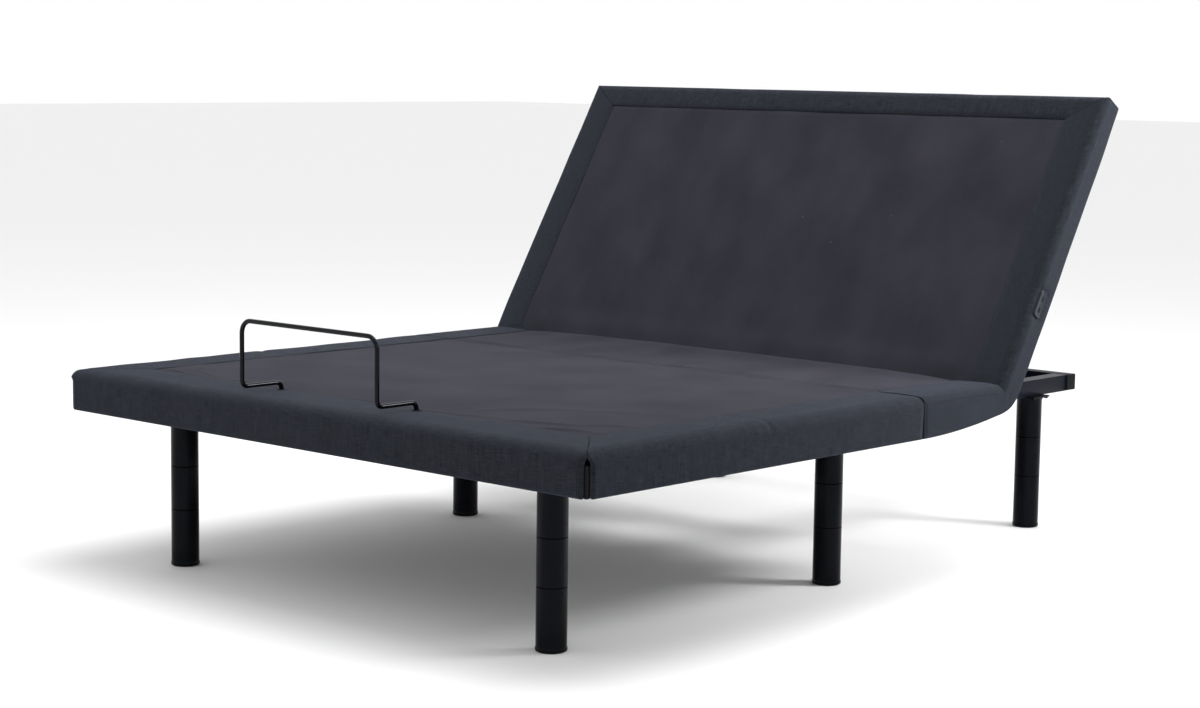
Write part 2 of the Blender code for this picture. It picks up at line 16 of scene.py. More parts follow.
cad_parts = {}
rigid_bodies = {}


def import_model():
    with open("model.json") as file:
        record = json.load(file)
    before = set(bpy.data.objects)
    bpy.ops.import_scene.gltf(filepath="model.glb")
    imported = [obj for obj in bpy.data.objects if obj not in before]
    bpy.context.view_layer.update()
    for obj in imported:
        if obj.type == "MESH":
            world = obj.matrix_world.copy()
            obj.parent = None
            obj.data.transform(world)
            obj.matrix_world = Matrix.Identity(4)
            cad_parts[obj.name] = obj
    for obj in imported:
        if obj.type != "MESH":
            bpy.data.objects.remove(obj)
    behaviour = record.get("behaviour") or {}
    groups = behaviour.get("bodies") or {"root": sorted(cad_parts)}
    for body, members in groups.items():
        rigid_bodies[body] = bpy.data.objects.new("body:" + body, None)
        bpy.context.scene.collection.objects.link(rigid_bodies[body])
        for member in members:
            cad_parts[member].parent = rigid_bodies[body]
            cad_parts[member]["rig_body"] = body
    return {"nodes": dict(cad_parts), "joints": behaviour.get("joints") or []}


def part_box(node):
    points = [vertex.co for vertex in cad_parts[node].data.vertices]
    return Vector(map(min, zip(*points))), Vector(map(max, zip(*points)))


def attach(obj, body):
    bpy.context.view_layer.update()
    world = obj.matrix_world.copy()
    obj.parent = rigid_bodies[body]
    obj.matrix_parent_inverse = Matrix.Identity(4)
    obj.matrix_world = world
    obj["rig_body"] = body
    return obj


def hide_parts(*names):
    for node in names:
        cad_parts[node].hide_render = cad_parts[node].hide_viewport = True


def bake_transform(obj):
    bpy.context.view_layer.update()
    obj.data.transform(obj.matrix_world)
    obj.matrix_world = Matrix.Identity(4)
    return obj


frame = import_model()

LOG = logging.getLogger("bed_base")
WEAVE = "weave"
EDGE_STEPS = (0.0, 0.002, 0.005, 0.009, 0.014)
EDGE_REST = 0.022
Point2 = tuple[float, float]
Colour = tuple[float, float, float]


class Cloth(Enum):
    """The three fabrics on the base."""

    LINEN = "border_linen"
    DECK = "deck_fabric"
    DUST = "dust_cloth"


class Lacquer(Enum):
    """The black coatings on the metal, each with the slot of the model it stands for."""

    GLOSS = "gloss_black_paint"
    SATIN = "frame_black_paint"


# ---------------------------------------------------------------- shader maths


class Signal:
    """A value socket that can be written in a sum."""

    def __init__(self, graph: Graph, socket: bpy.types.NodeSocket) -> None:
        """Wrap one output socket of a graph."""
        self.graph = graph
        self.socket = socket

    def _maths(self, operation: str, first: object, second: object = None) -> Signal:
        """Add one Math node for the two operands."""
        values = {0: first} if second is None else {0: first, 1: second}
        return self.graph.value("ShaderNodeMath", {"operation": operation}, values)

    def __add__(self, other: object) -> Signal:
        """Return self + other."""
        return self._maths("ADD", self, other)

    def __sub__(self, other: object) -> Signal:
        """Return self - other."""
        return self._maths("SUBTRACT", self, other)

    def __mul__(self, other: object) -> Signal:
        """Return self * other."""
        return self._maths("MULTIPLY", self, other)

    def __rsub__(self, other: object) -> Signal:
        """Return other - self."""
        return self._maths("SUBTRACT", other, self)

    __radd__ = __add__
    __rmul__ = __mul__

    def sine(self) -> Signal:
        """Return the sine of the value."""
        return self._maths("SINE", self)

    def above(self, level: object) -> Signal:
        """Return 1 where the value is above a level, and 0 elsewhere."""
        return self._maths("GREATER_THAN", self, level)


class Graph:
    """One material's node tree, built through one node-making method."""

    def __init__(self, name: str) -> None:
        """Start an empty material of this name.

        Args:
            name: The material's name.
        """
        self.material = bpy.data.materials.new(name)
        self.material.use_nodes = True
        self.tree = self.material.node_tree
        self.tree.nodes.clear()

    def node(self, kind: str, settings: dict | None = None, inputs: dict | None = None) -> bpy.types.Node:
        """Add a node.

        Args:
            kind: The node's type name.
            settings: Attributes to set first, or "stops" for a colour ramp.
            inputs: Values, sockets or signals by input name or number.

        Returns:
            The new node.
        """
        made = self.tree.nodes.new(kind)
        for key, setting in (settings or {}).items():
            if key == "stops":
                ramp = made.color_ramp
                for place, (position, colour) in enumerate(setting):
                    stop = ramp.elements[place] if place < 2 else ramp.elements.new(position)
                    stop.position, stop.color = position, (*colour, 1.0)
            else:
                setattr(made, key, setting)
        for key, given in (inputs or {}).items():
            if isinstance(given, Signal):
                given = given.socket
            if isinstance(given, bpy.types.NodeSocket):
                self.tree.links.new(given, made.inputs[key])
            else:
                made.inputs[key].default_value = given
        return made

    def value(self, kind: str, settings: dict | None = None, inputs: dict | None = None,
              output: int | str = 0) -> Signal:
        """Add a node and return one of its outputs as a signal."""
        return Signal(self, self.node(kind, settings, inputs).outputs[output])

    def stretched(self, vector: bpy.types.NodeSocket, scale: Colour) -> bpy.types.NodeSocket:
        """Return a vector multiplied along each axis."""
        return self.node("ShaderNodeVectorMath", {"operation": "MULTIPLY"}, {0: vector, 1: scale}).outputs[0]

    def noise(self, vector: bpy.types.NodeSocket, scale: float, detail: float = 3.0,
              roughness: float = 0.5) -> Signal:
        """Return a noise value from 0 to 1."""
        inputs = {"Vector": vector, "Scale": scale, "Detail": detail, "Roughness": roughness}
        return self.value("ShaderNodeTexNoise", None, inputs, "Fac")

    def ramp(self, driver: Signal, *stops: tuple[float, Colour]) -> bpy.types.NodeSocket:
        """Return a colour picked from stops by a value."""
        return self.node("ShaderNodeValToRGB", {"stops": stops}, {"Fac": driver}).outputs["Color"]

    def mixed(self, factor: Signal | float, first: object, second: object,
              blend: str = "MIX") -> bpy.types.NodeSocket:
        """Return a blend of two colours.

        Args:
            factor: How much of the second colour is taken.
            first: The first colour or its socket.
            second: The second colour or its socket.
            blend: The kind of blend.

        Returns:
            The blended colour's socket.
        """
        made = self.node("ShaderNodeMix", {"data_type": "RGBA", "blend_type": blend})
        for name, given in (("Factor", factor), ("A", first), ("B", second)):
            wanted = "RGBA" if name != "Factor" else "VALUE"
            socket = next(s for s in made.inputs if s.name == name and s.type == wanted)
            if isinstance(given, Signal):
                given = given.socket
            if isinstance(given, bpy.types.NodeSocket):
                self.tree.links.new(given, socket)
            else:
                socket.default_value = given if wanted == "VALUE" else (*given, 1.0)
        return next(s for s in made.outputs if s.type == "RGBA")

    def finish(self, height: Signal | None, distance: float, strength: float,
               **inputs: object) -> bpy.types.Material:
        """Close the material with a Principled shader.

        Args:
            height: The bump's height signal, or None for a smooth surface.
            distance: The bump's depth in metres.
            strength: The bump's strength, from 0 to 1.
            **inputs: Principled inputs, with underscores for spaces.

        Returns:
            The finished material.
        """
        named = {name.replace("_", " "): given for name, given in inputs.items()}
        shader = self.node("ShaderNodeBsdfPrincipled", None, named)
        if height is not None:
            relief = {"Height": height, "Distance": distance, "Strength": strength}
            bump = self.node("ShaderNodeBump", None, relief)
            self.tree.links.new(bump.outputs[0], shader.inputs["Normal"])
        output = self.node("ShaderNodeOutputMaterial")
        self.tree.links.new(shader.outputs[0], output.inputs["Surface"])
        return self.material


# ---------------------------------------------------------------- finishes


@dataclass(frozen=True)
class LinenFinish:
    """Slubbed linen-look upholstery: fine crossed threads with thicker streaks both ways."""

    dark: Colour = (0.0056, 0.0064, 0.0086)
    light: Colour = (0.0225, 0.0252, 0.0325)
    thread: float = 0.0013

    def material(self) -> bpy.types.Material:
        """Build the linen's material.

        Returns:
            The material.
        """
        graph = Graph("border_linen_woven")
        weave = graph.node("ShaderNodeAttribute", {"attribute_name": WEAVE}).outputs["Vector"]
        parts = graph.node("ShaderNodeSeparateXYZ", None, {0: weave}).outputs
        across, along = Signal(graph, parts["X"]), Signal(graph, parts["Y"])
        warp_slub = graph.noise(graph.stretched(weave, (560.0, 34.0, 1.0)), 1.0, 2.0)
        weft_slub = graph.noise(graph.stretched(weave, (30.0, 560.0, 1.0)), 1.0, 2.0)
        broad = graph.noise(graph.stretched(weave, (8.0, 90.0, 1.0)), 1.0, 2.0)
        turn = 2 * math.pi / self.thread
        crossing = (across * turn + along * turn).sine() * 0.5 + (across * turn - along * turn).sine() * 0.5
        streaks = weft_slub * 0.46 + warp_slub * 0.40 + broad * 0.14
        tone = streaks + crossing * 0.035
        mottle = graph.noise(weave, 7.0, 2.0)
        tint = graph.mixed(mottle, (0.94, 0.97, 1.0), (1.06, 1.03, 1.0))
        colour = graph.ramp(tone, (0.36, self.dark), (0.62, self.light))
        tinted = graph.mixed(1.0, colour, tint, "MULTIPLY")
        height = streaks * 1.4 + crossing * 0.35
        return graph.finish(height, 0.0007, 0.75, Base_Color=tinted, Roughness=0.92, Sheen_Weight=0.12,
                            Sheen_Roughness=0.4, Sheen_Tint=(0.62, 0.70, 0.92, 1.0), Specular_IOR_Level=0.06)


@dataclass(frozen=True)
class DeckFinish:
    """Matte needle-felt deck fabric, warm charcoal, with a fine grain and a few pale lint specks."""

    dark: Colour = (0.0160, 0.0158, 0.0214)
    light: Colour = (0.0325, 0.0320, 0.0420)
    lint: Colour = (0.22, 0.22, 0.24)
    lint_scale: float = 19.0
    lint_radius: float = 0.022
    lint_share: float = 0.20

    def material(self) -> bpy.types.Material:
        """Build the deck fabric's material.

        Returns:
            The material.
        """
        graph = Graph("deck_fabric_felted")
        weave = graph.node("ShaderNodeAttribute", {"attribute_name": WEAVE}).outputs["Vector"]
        grain = graph.noise(weave, 620.0, 3.0, 0.65)
        fibres = graph.noise(graph.stretched(weave, (130.0, 700.0, 1.0)), 1.0, 2.0)
        cloud = graph.noise(weave, 5.5, 3.0)
        tone = grain * 0.45 + fibres * 0.2 + cloud * 0.35
        colour = graph.ramp(tone, (0.36, self.dark), (0.64, self.light))
        lint_grid = {"Vector": weave, "Scale": self.lint_scale}
        cells = graph.node("ShaderNodeTexVoronoi", {"feature": "F1"}, lint_grid).outputs
        near = Signal(graph, cells["Distance"])
        chance = graph.value("ShaderNodeSeparateColor", None, {0: cells["Color"]}, 0)
        speck = (1.0 - near.above(self.lint_radius)) * chance.above(1.0 - self.lint_share)
        speckled = graph.mixed(speck * 0.75, colour, self.lint)
        height = grain * 0.6 + fibres * 0.4
        return graph.finish(height, 0.0005, 0.6, Base_Color=speckled, Roughness=0.96, Sheen_Weight=0.03,
                            Sheen_Roughness=0.5, Sheen_Tint=(0.8, 0.8, 0.95, 1.0), Specular_IOR_Level=0.05)


@dataclass(frozen=True)
class DustFinish:
    """Thin black spunbond dust cloth with its embossed dots."""

    colour: Colour = (0.0065, 0.0065, 0.0075)
    emboss: float = 0.0024

    def material(self) -> bpy.types.Material:
        """Build the dust cloth's material.

        Returns:
            The material.
        """
        graph = Graph("dust_cloth_spunbond")
        place = graph.node("ShaderNodeTexCoord").outputs["Object"]
        parts = graph.node("ShaderNodeSeparateXYZ", None, {0: place}).outputs
        turn = 2 * math.pi / self.emboss
        across = Signal(graph, parts["X"])
        along = Signal(graph, parts["Y"]) + Signal(graph, parts["Z"])
        dots = (across * turn).sine() * (along * turn).sine()
        fibres = graph.noise(place, 240.0, 4.0, 0.7)
        pale = tuple(channel * 2.1 for channel in self.colour)
        colour = graph.ramp(fibres, (0.3, self.colour), (0.75, pale))
        return graph.finish(dots * 0.5 + fibres, 0.0004, 0.5, Base_Color=colour, Roughness=0.85,
                            Specular_IOR_Level=0.12)


@dataclass(frozen=True)
class LacquerFinish:
    """Black powder coat, with its orange-peel skin and faint rubbed patches."""

    name: str
    colour: Colour
    roughness: float
    peel: float
    coat: float
    gloss: float

    def material(self) -> bpy.types.Material:
        """Build the coating's material.

        Returns:
            The material.
        """
        graph = Graph(self.name)
        place = graph.node("ShaderNodeTexCoord").outputs["Object"]
        peel = graph.noise(place, 420.0, 2.0)
        rubbed = graph.noise(graph.stretched(place, (9.0, 9.0, 30.0)), 1.0, 4.0, 0.6)
        dust = graph.noise(place, 55.0, 5.0, 0.7)
        rough = rubbed * 0.16 + dust * 0.08 + (self.roughness - 0.12)
        lifted = tuple(channel * 1.55 + 0.002 for channel in self.colour)
        colour = graph.ramp(dust * 0.5 + rubbed * 0.5, (0.35, self.colour), (0.8, lifted))
        return graph.finish(peel, self.peel, 0.5, Base_Color=colour, Roughness=rough, Coat_Weight=self.coat,
                            Coat_Roughness=0.12, Specular_IOR_Level=self.gloss,
                            Specular_Tint=(0.80, 0.88, 1.0, 1.0))


@dataclass(frozen=True)
class MetalFinish:
    """Bare or zinc-plated steel with fine drawn lines."""

    name: str
    colour: Colour
    roughness: float
    spangle: float

    def material(self) -> bpy.types.Material:
        """Build the metal's material.

        Returns:
            The material.
        """
        graph = Graph(self.name)
        place = graph.node("ShaderNodeTexCoord").outputs["Object"]
        lines = graph.noise(graph.stretched(place, (900.0, 30.0, 900.0)), 1.0, 2.0)
        patches = graph.noise(place, self.spangle, 4.0, 0.6)
        dark = tuple(channel * 0.62 for channel in self.colour)
        colour = graph.ramp(lines * 0.4 + patches * 0.6, (0.3, dark), (0.7, self.colour))
        rough = patches * 0.25 + lines * 0.1 + (self.roughness - 0.15)
        return graph.finish(lines, 0.0001, 0.4, Base_Color=colour, Roughness=rough, Metallic=1.0)


@dataclass(frozen=True)
class PlasticFinish:
    """Moulded plastic with a fine spark-eroded texture."""

    name: str
    colour: Colour
    roughness: float

    def material(self) -> bpy.types.Material:
        """Build the plastic's material.

        Returns:
            The material.
        """
        graph = Graph(self.name)
        place = graph.node("ShaderNodeTexCoord").outputs["Object"]
        grain = graph.noise(place, 900.0, 3.0, 0.7)
        scuff = graph.noise(place, 40.0, 4.0, 0.6)
        pale = tuple(channel * 1.5 + 0.004 for channel in self.colour)
        colour = graph.ramp(scuff, (0.35, self.colour), (0.75, pale))
        rough = scuff * 0.2 + (self.roughness - 0.1)
        return graph.finish(grain, 0.0002, 0.5, Base_Color=colour, Roughness=rough, Specular_IOR_Level=0.12)


class Wardrobe:
    """Every finish of the base, each made once."""

    def __init__(self) -> None:
        """Build the finishes."""
        self.cloth = {
            Cloth.LINEN: LinenFinish().material(),
            Cloth.DECK: DeckFinish().material(),
            Cloth.DUST: DustFinish().material(),
        }
        gloss = LacquerFinish("leg_gloss_black", (0.0014, 0.0015, 0.0022), 0.20, 0.00012, 0.0, 0.07)
        satin = LacquerFinish("frame_satin_black", (0.0018, 0.0027, 0.0062), 0.36, 0.0002, 0.0, 0.04)
        wet = LacquerFinish("bar_wet_black", (0.0010, 0.0011, 0.0016), 0.14, 0.00004, 0.0, 0.16)
        self.lacquer = {Lacquer.GLOSS: gloss.material(), Lacquer.SATIN: satin.material()}
        self.rod = wet.material()
        self.bright = MetalFinish("rod_bright_steel", (0.62, 0.63, 0.65), 0.24, 18.0).material()
        self.zinc = MetalFinish("plate_zinc_steel", (0.46, 0.47, 0.50), 0.42, 60.0).material()
        self.plastic = PlasticFinish("case_dark_plastic", (0.0060, 0.0064, 0.0075), 0.45).material()
        self.socket = PlasticFinish("socket_grey_plastic", (0.016, 0.018, 0.024), 0.34).material()
        self.rubber = PlasticFinish("glide_rubber", (0.0030, 0.0034, 0.0050), 0.75).material()


# ---------------------------------------------------------------- mesh helpers


def new_piece(name: str, built: bmesh.types.BMesh, material: bpy.types.Material,
              smooth_angle: float = 40.0) -> bpy.types.Object:
    """Turn a bmesh into a piece at the origin.

    Args:
        name: The piece's name.
        built: The mesh, freed here.
        material: The piece's finish.
        smooth_angle: Edges sharper than this many degrees stay sharp.

    Returns:
        The new object.
    """
    bmesh.ops.recalc_face_normals(built, faces=built.faces)
    mesh = bpy.data.meshes.new(name)
    built.to_mesh(mesh)
    built.free()
    mesh.materials.append(material)
    mesh.shade_smooth()
    mesh.set_sharp_from_angle(angle=math.radians(smooth_angle))
    made = bpy.data.objects.new(name, mesh)
    bpy.context.scene.collection.objects.link(made)
    return made


def lathe(profile: Sequence[Point2], centre: Vector, axis: Vector, steps: int) -> bmesh.types.BMesh:
    """Spin a closed half profile of (radius, height) points about an axis.

    Args:
        profile: The outline's points, its first and last on the axis.
        centre: Where height 0 is.
        axis: The direction of the height.
        steps: How many segments the full turn has.

    Returns:
        The turned body.
    """
    built = bmesh.new()
    turn = Vector((0, 0, 1)).rotation_difference(axis).to_matrix()
    verts = [built.verts.new(centre + turn @ Vector((radius, 0, height))) for radius, height in profile]
    edges = [built.edges.new(pair) for pair in zip(verts, verts[1:])]
    bmesh.ops.spin(built, geom=verts + edges, cent=centre, axis=turn @ Vector((0, 0, 1)),
                   angle=2 * math.pi, steps=steps, use_merge=True)
    bmesh.ops.remove_doubles(built, verts=built.verts, dist=0.00002)
    return built


def rounded_box(low: Vector, high: Vector, radius: float, segments: int = 3) -> bmesh.types.BMesh:
    """Return a box between two corners with all its edges rounded.

    Args:
        low: The corner with the smallest coordinates.
        high: The corner with the largest ones.
        radius: The rounding's radius in metres.
        segments: Segments of the rounding.

    Returns:
        The box.
    """
    built = bmesh.new()
    bmesh.ops.create_cube(built, size=1)
    bmesh.ops.scale(built, vec=high - low, verts=built.verts)
    bmesh.ops.translate(built, vec=(low + high) / 2, verts=built.verts)
    bmesh.ops.bevel(built, geom=built.edges[:], offset=radius, segments=segments, affect="EDGES",
                    profile=0.5, material=-1)
    return built


def joined(*parts: bmesh.types.BMesh) -> bmesh.types.BMesh:
    """Return one bmesh that holds all the given ones, which are freed.

    Args:
        *parts: The bmeshes to put together.

    Returns:
        The joined bmesh.
    """
    whole = bmesh.new()
    for part in parts:
        bmesh.ops.recalc_face_normals(part, faces=part.faces)
        holder = bpy.data.meshes.new("holder")
        part.to_mesh(holder)
        part.free()
        whole.from_mesh(holder)
        bpy.data.meshes.remove(holder)
    return whole


def softened(node: str, width: float, material: bpy.types.Material, segments: int = 2) -> bpy.types.Object:
    """Replace a CAD node by a merged copy of it with rounded edges.

    Args:
        node: The CAD node.
        width: The width of the edge rounding in metres.
        material: The new finish.
        segments: Segments of the rounding.

    Returns:
        The piece, riding on the node's body.
    """
    source = frame["nodes"][node]
    built = bmesh.new()
    built.from_mesh(source.data)
    bmesh.ops.remove_doubles(built, verts=built.verts, dist=0.00001)
    bmesh.ops.dissolve_limit(built, angle_limit=math.radians(0.5), verts=built.verts, edges=built.edges)
    sharp = [edge for edge in built.edges
             if len(edge.link_faces) == 2 and edge.calc_face_angle(0) > math.radians(50)]
    bmesh.ops.bevel(built, geom=sharp, offset=width, segments=segments, affect="EDGES", profile=0.5,
                    material=-1, clamp_overlap=True)
    piece = new_piece(node + "_finished", built, material, 36.0)
    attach(piece, source["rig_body"])
    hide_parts(node)
    return piece


def smoothstep(value: float) -> float:
    """Return the smooth 0 to 1 step of a value."""
    held = max(0.0, min(1.0, value))
    return held * held * (3 - 2 * held)


def arc(centre: Point2, radius: float, start: float, end: float, steps: int) -> list[Point2]:
    """Return points on an arc, its angles in degrees from the first axis."""
    turns = (math.radians(start + (end - start) * step / steps) for step in range(steps + 1))
    return [(centre[0] + radius * math.cos(turn), centre[1] + radius * math.sin(turn)) for turn in turns]


def spaced(start: float, end: float, pitch: float) -> list[float]:
    """Return evenly spaced values from start to end, about a pitch apart."""
    count = max(1, round(abs(end - start) / pitch))
    return [start + (end - start) * step / count for step in range(count + 1)]


def edged(start: float, end: float, pitch: float) -> list[float]:
    """Return stations from start to end, close together at both ends.

    Args:
        start: The first station.
        end: The last station.
        pitch: About how far apart the stations between are.

    Returns:
        The stations.
    """
    near = [start + step for step in EDGE_STEPS]
    far = [end - step for step in reversed(EDGE_STEPS)]
    return near + spaced(start + EDGE_REST, end - EDGE_REST, pitch) + far


@dataclass
class Loft:
    """A closed padded solid grown from one outline, station by station."""

    name: str
    outline: Sequence[Point2]
    cloth: bpy.types.Material
    tufts: Callable[[Vector], Vector] | None = None
    grain: Vector | None = None

    def grow(self, stations: Sequence[float], place: Callable[[float, Point2], Vector]) -> bpy.types.Object:
        """Grow the solid.

        Args:
            stations: Values along the piece, in metres of cloth.
            place: Gives the position of an outline point at a station.

        Returns:
            The piece, with the cloth's own coordinates as an attribute.
        """
        built = bmesh.new()
        number = built.verts.layers.int.new("outline")
        along = built.verts.layers.float.new("along")
        first = []
        for index, point in enumerate(self.outline):
            vert = built.verts.new(place(stations[0], point))
            vert[number], vert[along] = index, stations[0]
            first.append(vert)
        face = built.faces.new(first)
        for station in stations[1:]:
            grown = bmesh.ops.extrude_face_region(built, geom=[face])["geom"]
            face = next(item for item in grown if isinstance(item, bmesh.types.BMFace))
            for vert in face.verts:
                vert.co = place(station, self.outline[vert[number]])
                vert[along] = station
        if self.tufts:
            for vert in built.verts:
                vert.co = self.tufts(vert.co)
        lengths = [0.0]
        for before, after in zip(self.outline, self.outline[1:]):
            lengths.append(lengths[-1] + math.dist(before, after))
        built.verts.ensure_lookup_table()
        if self.grain:
            for vert in built.verts:
                vert[along] = self.grain.dot(vert.co)
        cloth_places = [(lengths[vert[number]], vert[along], 0.0) for vert in built.verts]
        piece = new_piece(self.name, built, self.cloth, 50.0)
        attribute = piece.data.attributes.new(WEAVE, "FLOAT_VECTOR", "POINT")
        attribute.data.foreach_set("vector", [number for spot in cloth_places for number in spot])
        return piece


def bulge(value: float, height: float, place: float, width: float) -> float:
    """Return a soft bump of some height and width about a place."""
    return height * math.exp(-(((value - place) / width) ** 2))


def ripple(spot: Vector, size: float, depth: float, seed: float) -> float:
    """Return a smooth unevenness of the padding at a point, in metres."""
    return depth * noise.noise(Vector((spot.x / size + seed, spot.y / size, spot.z / size - seed)))


# ---------------------------------------------------------------- the object


@dataclass(frozen=True)
class DeckPlan:
    """Where the deck's sections, hinges and faces are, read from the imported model."""

    half: float
    foot_y: float
    top: float
    low: float
    knee: Vector
    thigh: Vector
    head: Vector
    head_end: float
    tilt: float

    @classmethod
    def read(cls) -> DeckPlan:
        """Read the plan from the frame's boxes and joints.

        Returns:
            The plan.
        """
        joints = {joint["name"]: joint for joint in frame["joints"]}
        end_low, end_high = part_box("foot_border_end")
        head = Vector(joints["head_tilt"]["pos_m"])
        low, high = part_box("head_pad")
        tilt = math.radians(-joints["head_tilt"]["range_deg"][0])
        reach = (high.y - head.y + (end_high.z - head.z) * math.sin(tilt)) / math.cos(tilt)
        top_reach = (high.z - head.z - (end_high.z - head.z) * math.cos(tilt)) / math.sin(tilt)
        return cls(half=end_high.x, foot_y=end_low.y, top=end_high.z, low=end_low.z,
                   knee=Vector(joints["knee"]["pos_m"]), thigh=Vector(joints["thigh_tilt"]["pos_m"]),
                   head=head, head_end=min(top_reach, max(top_reach, reach)), tilt=tilt)

    def socket_centre(self) -> Point2:
        """Return the charging socket's centre, along and across the head section when it lies flat.

        Returns:
            The distance from the head pivot and the height above it.
        """
        low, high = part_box("usb_socket")
        offset = Vector((0.0, (low.y + high.y) / 2, (low.z + high.z) / 2)) - self.head
        flat = Matrix.Rotation(-self.tilt, 3, "X") @ Vector((0.0, offset.y, offset.z))
        return flat.y, flat.z

    def on_head(self, along: float, height: float) -> Point2:
        """Return the (y, z) place of a point of the raised head section from its flat one."""
        turned = Matrix.Rotation(self.tilt, 2) @ Vector((along, height))
        return self.head.y + turned.x, self.head.z + turned.y


@dataclass
class LegDeck:
    """The foot and thigh sections' upholstery: one felted centre and three linen borders."""

    plan: DeckPlan
    wardrobe: Wardrobe
    end_band: float = 0.138
    side_band: float = 0.122
    edge_radius: float = 0.026
    pad: float = 0.0236
    rail: float = 0.024
    hem_radius: float = 0.006
    slit_top: float = 0.0012
    slit_low: float = 0.0038
    seam: float = 0.0009
    folds: tuple = (
        ((-0.380, 0.075), (-0.215, 0.235), 0.013, 0.0034),
        ((-0.260, 0.020), (-0.080, 0.078), 0.009, 0.0036),
        ((-0.110, 0.066), (0.000, 0.155), 0.009, 0.0034),
        ((-0.150, -0.004), (0.004, 0.042), 0.007, 0.0036),
        ((-0.460, 0.008), (-0.200, 0.046), 0.008, 0.0024),
        ((-0.300, 0.150), (-0.120, 0.300), 0.016, 0.0020),
    )
    strip_reach: float = 0.020
    gusset_reach: float = 0.075
    gusset_pad: float = 0.010
    bend_reach: float = 0.060
    corner_round: float = 0.016
    corner_slit: float = 0.0124
    hem_drop: float = 0.0040
    lobe: float = 0.0024
    tuck: float = 0.0022
    knee_mark: float = 0.0022

    @property
    def depth(self) -> float:
        """How far the borders reach below the deck's top."""
        return self.plan.top - self.plan.low + self.hem_drop

    def rounded(self, spot: Vector) -> Vector:
        """Move a point of the square foot corner in onto its upright rounding.

        Args:
            spot: The point, placed on the square corner.

        Returns:
            The point on the rounding, or the same point away from the corner.
        """
        plan = self.plan
        radius = self.corner_round * (1 - 0.75 * smoothstep((plan.top - spot.z - 0.012) / 0.016))
        out_x, out_y = abs(spot.x) - (plan.half - radius), plan.foot_y + radius - spot.y
        if out_x <= 0 or out_y <= 0:
            return spot
        share = max(out_x, out_y) / math.hypot(out_x, out_y)
        reach = math.copysign(plan.half - radius + out_x * share, spot.x)
        return Vector((reach, plan.foot_y + radius - out_y * share, spot.z))

    def outline(self, band: float, pad: float) -> list[Point2]:
        """Return a border's outline as (distance in from the outer face, depth below the deck).

        Args:
            band: The width of the border's top band.
            pad: The thickness of the padding over the board.

        Returns:
            The outline's points.
        """
        depth = self.depth
        top = [(x, 0.0) for x in spaced(band - 0.004, self.edge_radius + 0.004, 0.011)]
        round_over = arc((self.edge_radius, self.edge_radius), self.edge_radius, -90, -180, 9)
        face = [(0.0, z) for z in spaced(self.edge_radius + 0.006, depth - self.hem_radius - 0.003, 0.008)]
        hem = arc((self.hem_radius, depth - self.hem_radius), self.hem_radius, 180, 90, 4)
        inside = [(self.rail, depth), (self.rail, pad), (band, pad)]
        seam = [(band, 0.006), (band - 0.0006, 0.0022), (band - 0.0018, 0.0006)]
        return top + round_over + face + hem + inside + seam

    def puff(self, point: Point2, band: float) -> float:
        """Return how far the foam stands proud of an outline point."""
        across, depth = point
        return 0.0016 * math.sin(math.pi * min(1.0, across / band)) if depth <= 0.0001 else 0.0

    def corner_gap(self, depth: float) -> float:
        """Return how far the corner slit has opened at a depth, from 0 to 1."""
        return smoothstep((depth - 0.012) / 0.012)

    def cut_edge(self, point: Point2, band: float, gap: float, pull: float) -> tuple[float, float]:
        """Return how a border's outline turns in near one of its cut ends.

        Args:
            point: An (across, depth) point of the outline.
            band: The width of the border's top band.
            gap: How far the corner slit has opened there, from 0 to 1.
            pull: The distance from the nearer end.

        Returns:
            How far the point tucks in, and how far below the deck it lies.
        """
        across, depth = point
        on_top = depth <= 0.004 and across >= self.edge_radius
        tuck = 0.0 if on_top else (self.tuck + self.lobe * gap) * (1 - smoothstep(pull / 0.014))
        sag = 0.0010 * (1 - smoothstep(pull / 0.010)) * (depth <= 0.0001)
        return tuck, depth - self.puff(point, band) + sag

    def side(self, hand: str, gusset: bool = False) -> bpy.types.Object:
        """Make a side border, mitred at the foot corner and slit beside the seat section.

        Args:
            hand: "left" or "right".
            gusset: Whether to make only its soft end at the thigh hinge, or all but that end.

        Returns:
            The border, or its gusset.
        """
        sign = -1.0 if hand == "left" else 1.0
        plan, band = self.plan, self.side_band
        start, end = plan.foot_y, plan.thigh.y
        depth_full = self.depth
        mitre = self.end_band / self.side_band

        def place(station: float, point: Point2) -> Vector:
            """Place an outline point, cutting the mitre, the corner slit and the hinge slit.

            Args:
                station: The station's Y before the ends are cut.
                point: An (across, depth) point of the outline.

            Returns:
                The point's place.
            """
            across, depth = point
            first = start + max(across, 0.0) * mitre + self.seam
            gap = self.corner_gap(depth) * (1 - smoothstep((station - start) / 0.030))
            first += self.corner_slit * gap
            opening = smoothstep(depth / depth_full * 1.3 - 0.2)
            slit = self.slit_top + (self.slit_low - self.slit_top) * opening
            last = end - slit
            share = (station - start) / (end - start)
            y = first + (last - first) * share
            tuck, drop = self.cut_edge(point, band, gap, min(station - start, end - station))
            knee_mark = bulge(y, self.knee_mark, plan.knee.y, 0.009) * (depth <= 0.02)
            return Vector((sign * (plan.half - 0.0006 - max(across, tuck)), y, plan.top - drop - knee_mark))

        def soft(spot: Vector) -> Vector:
            """Give a point the padding's unevenness and the corner's rounding.

            Args:
                spot: The point.

            Returns:
                The moved point.
            """
            if plan.low + 0.004 < spot.z:
                spot.x += sign * min(0.0004, ripple(spot, 0.11, 0.0018, 3.1))
                spot.z += min(0.0006, ripple(spot, 0.09, 0.0018, 7.7))
            return self.rounded(spot)

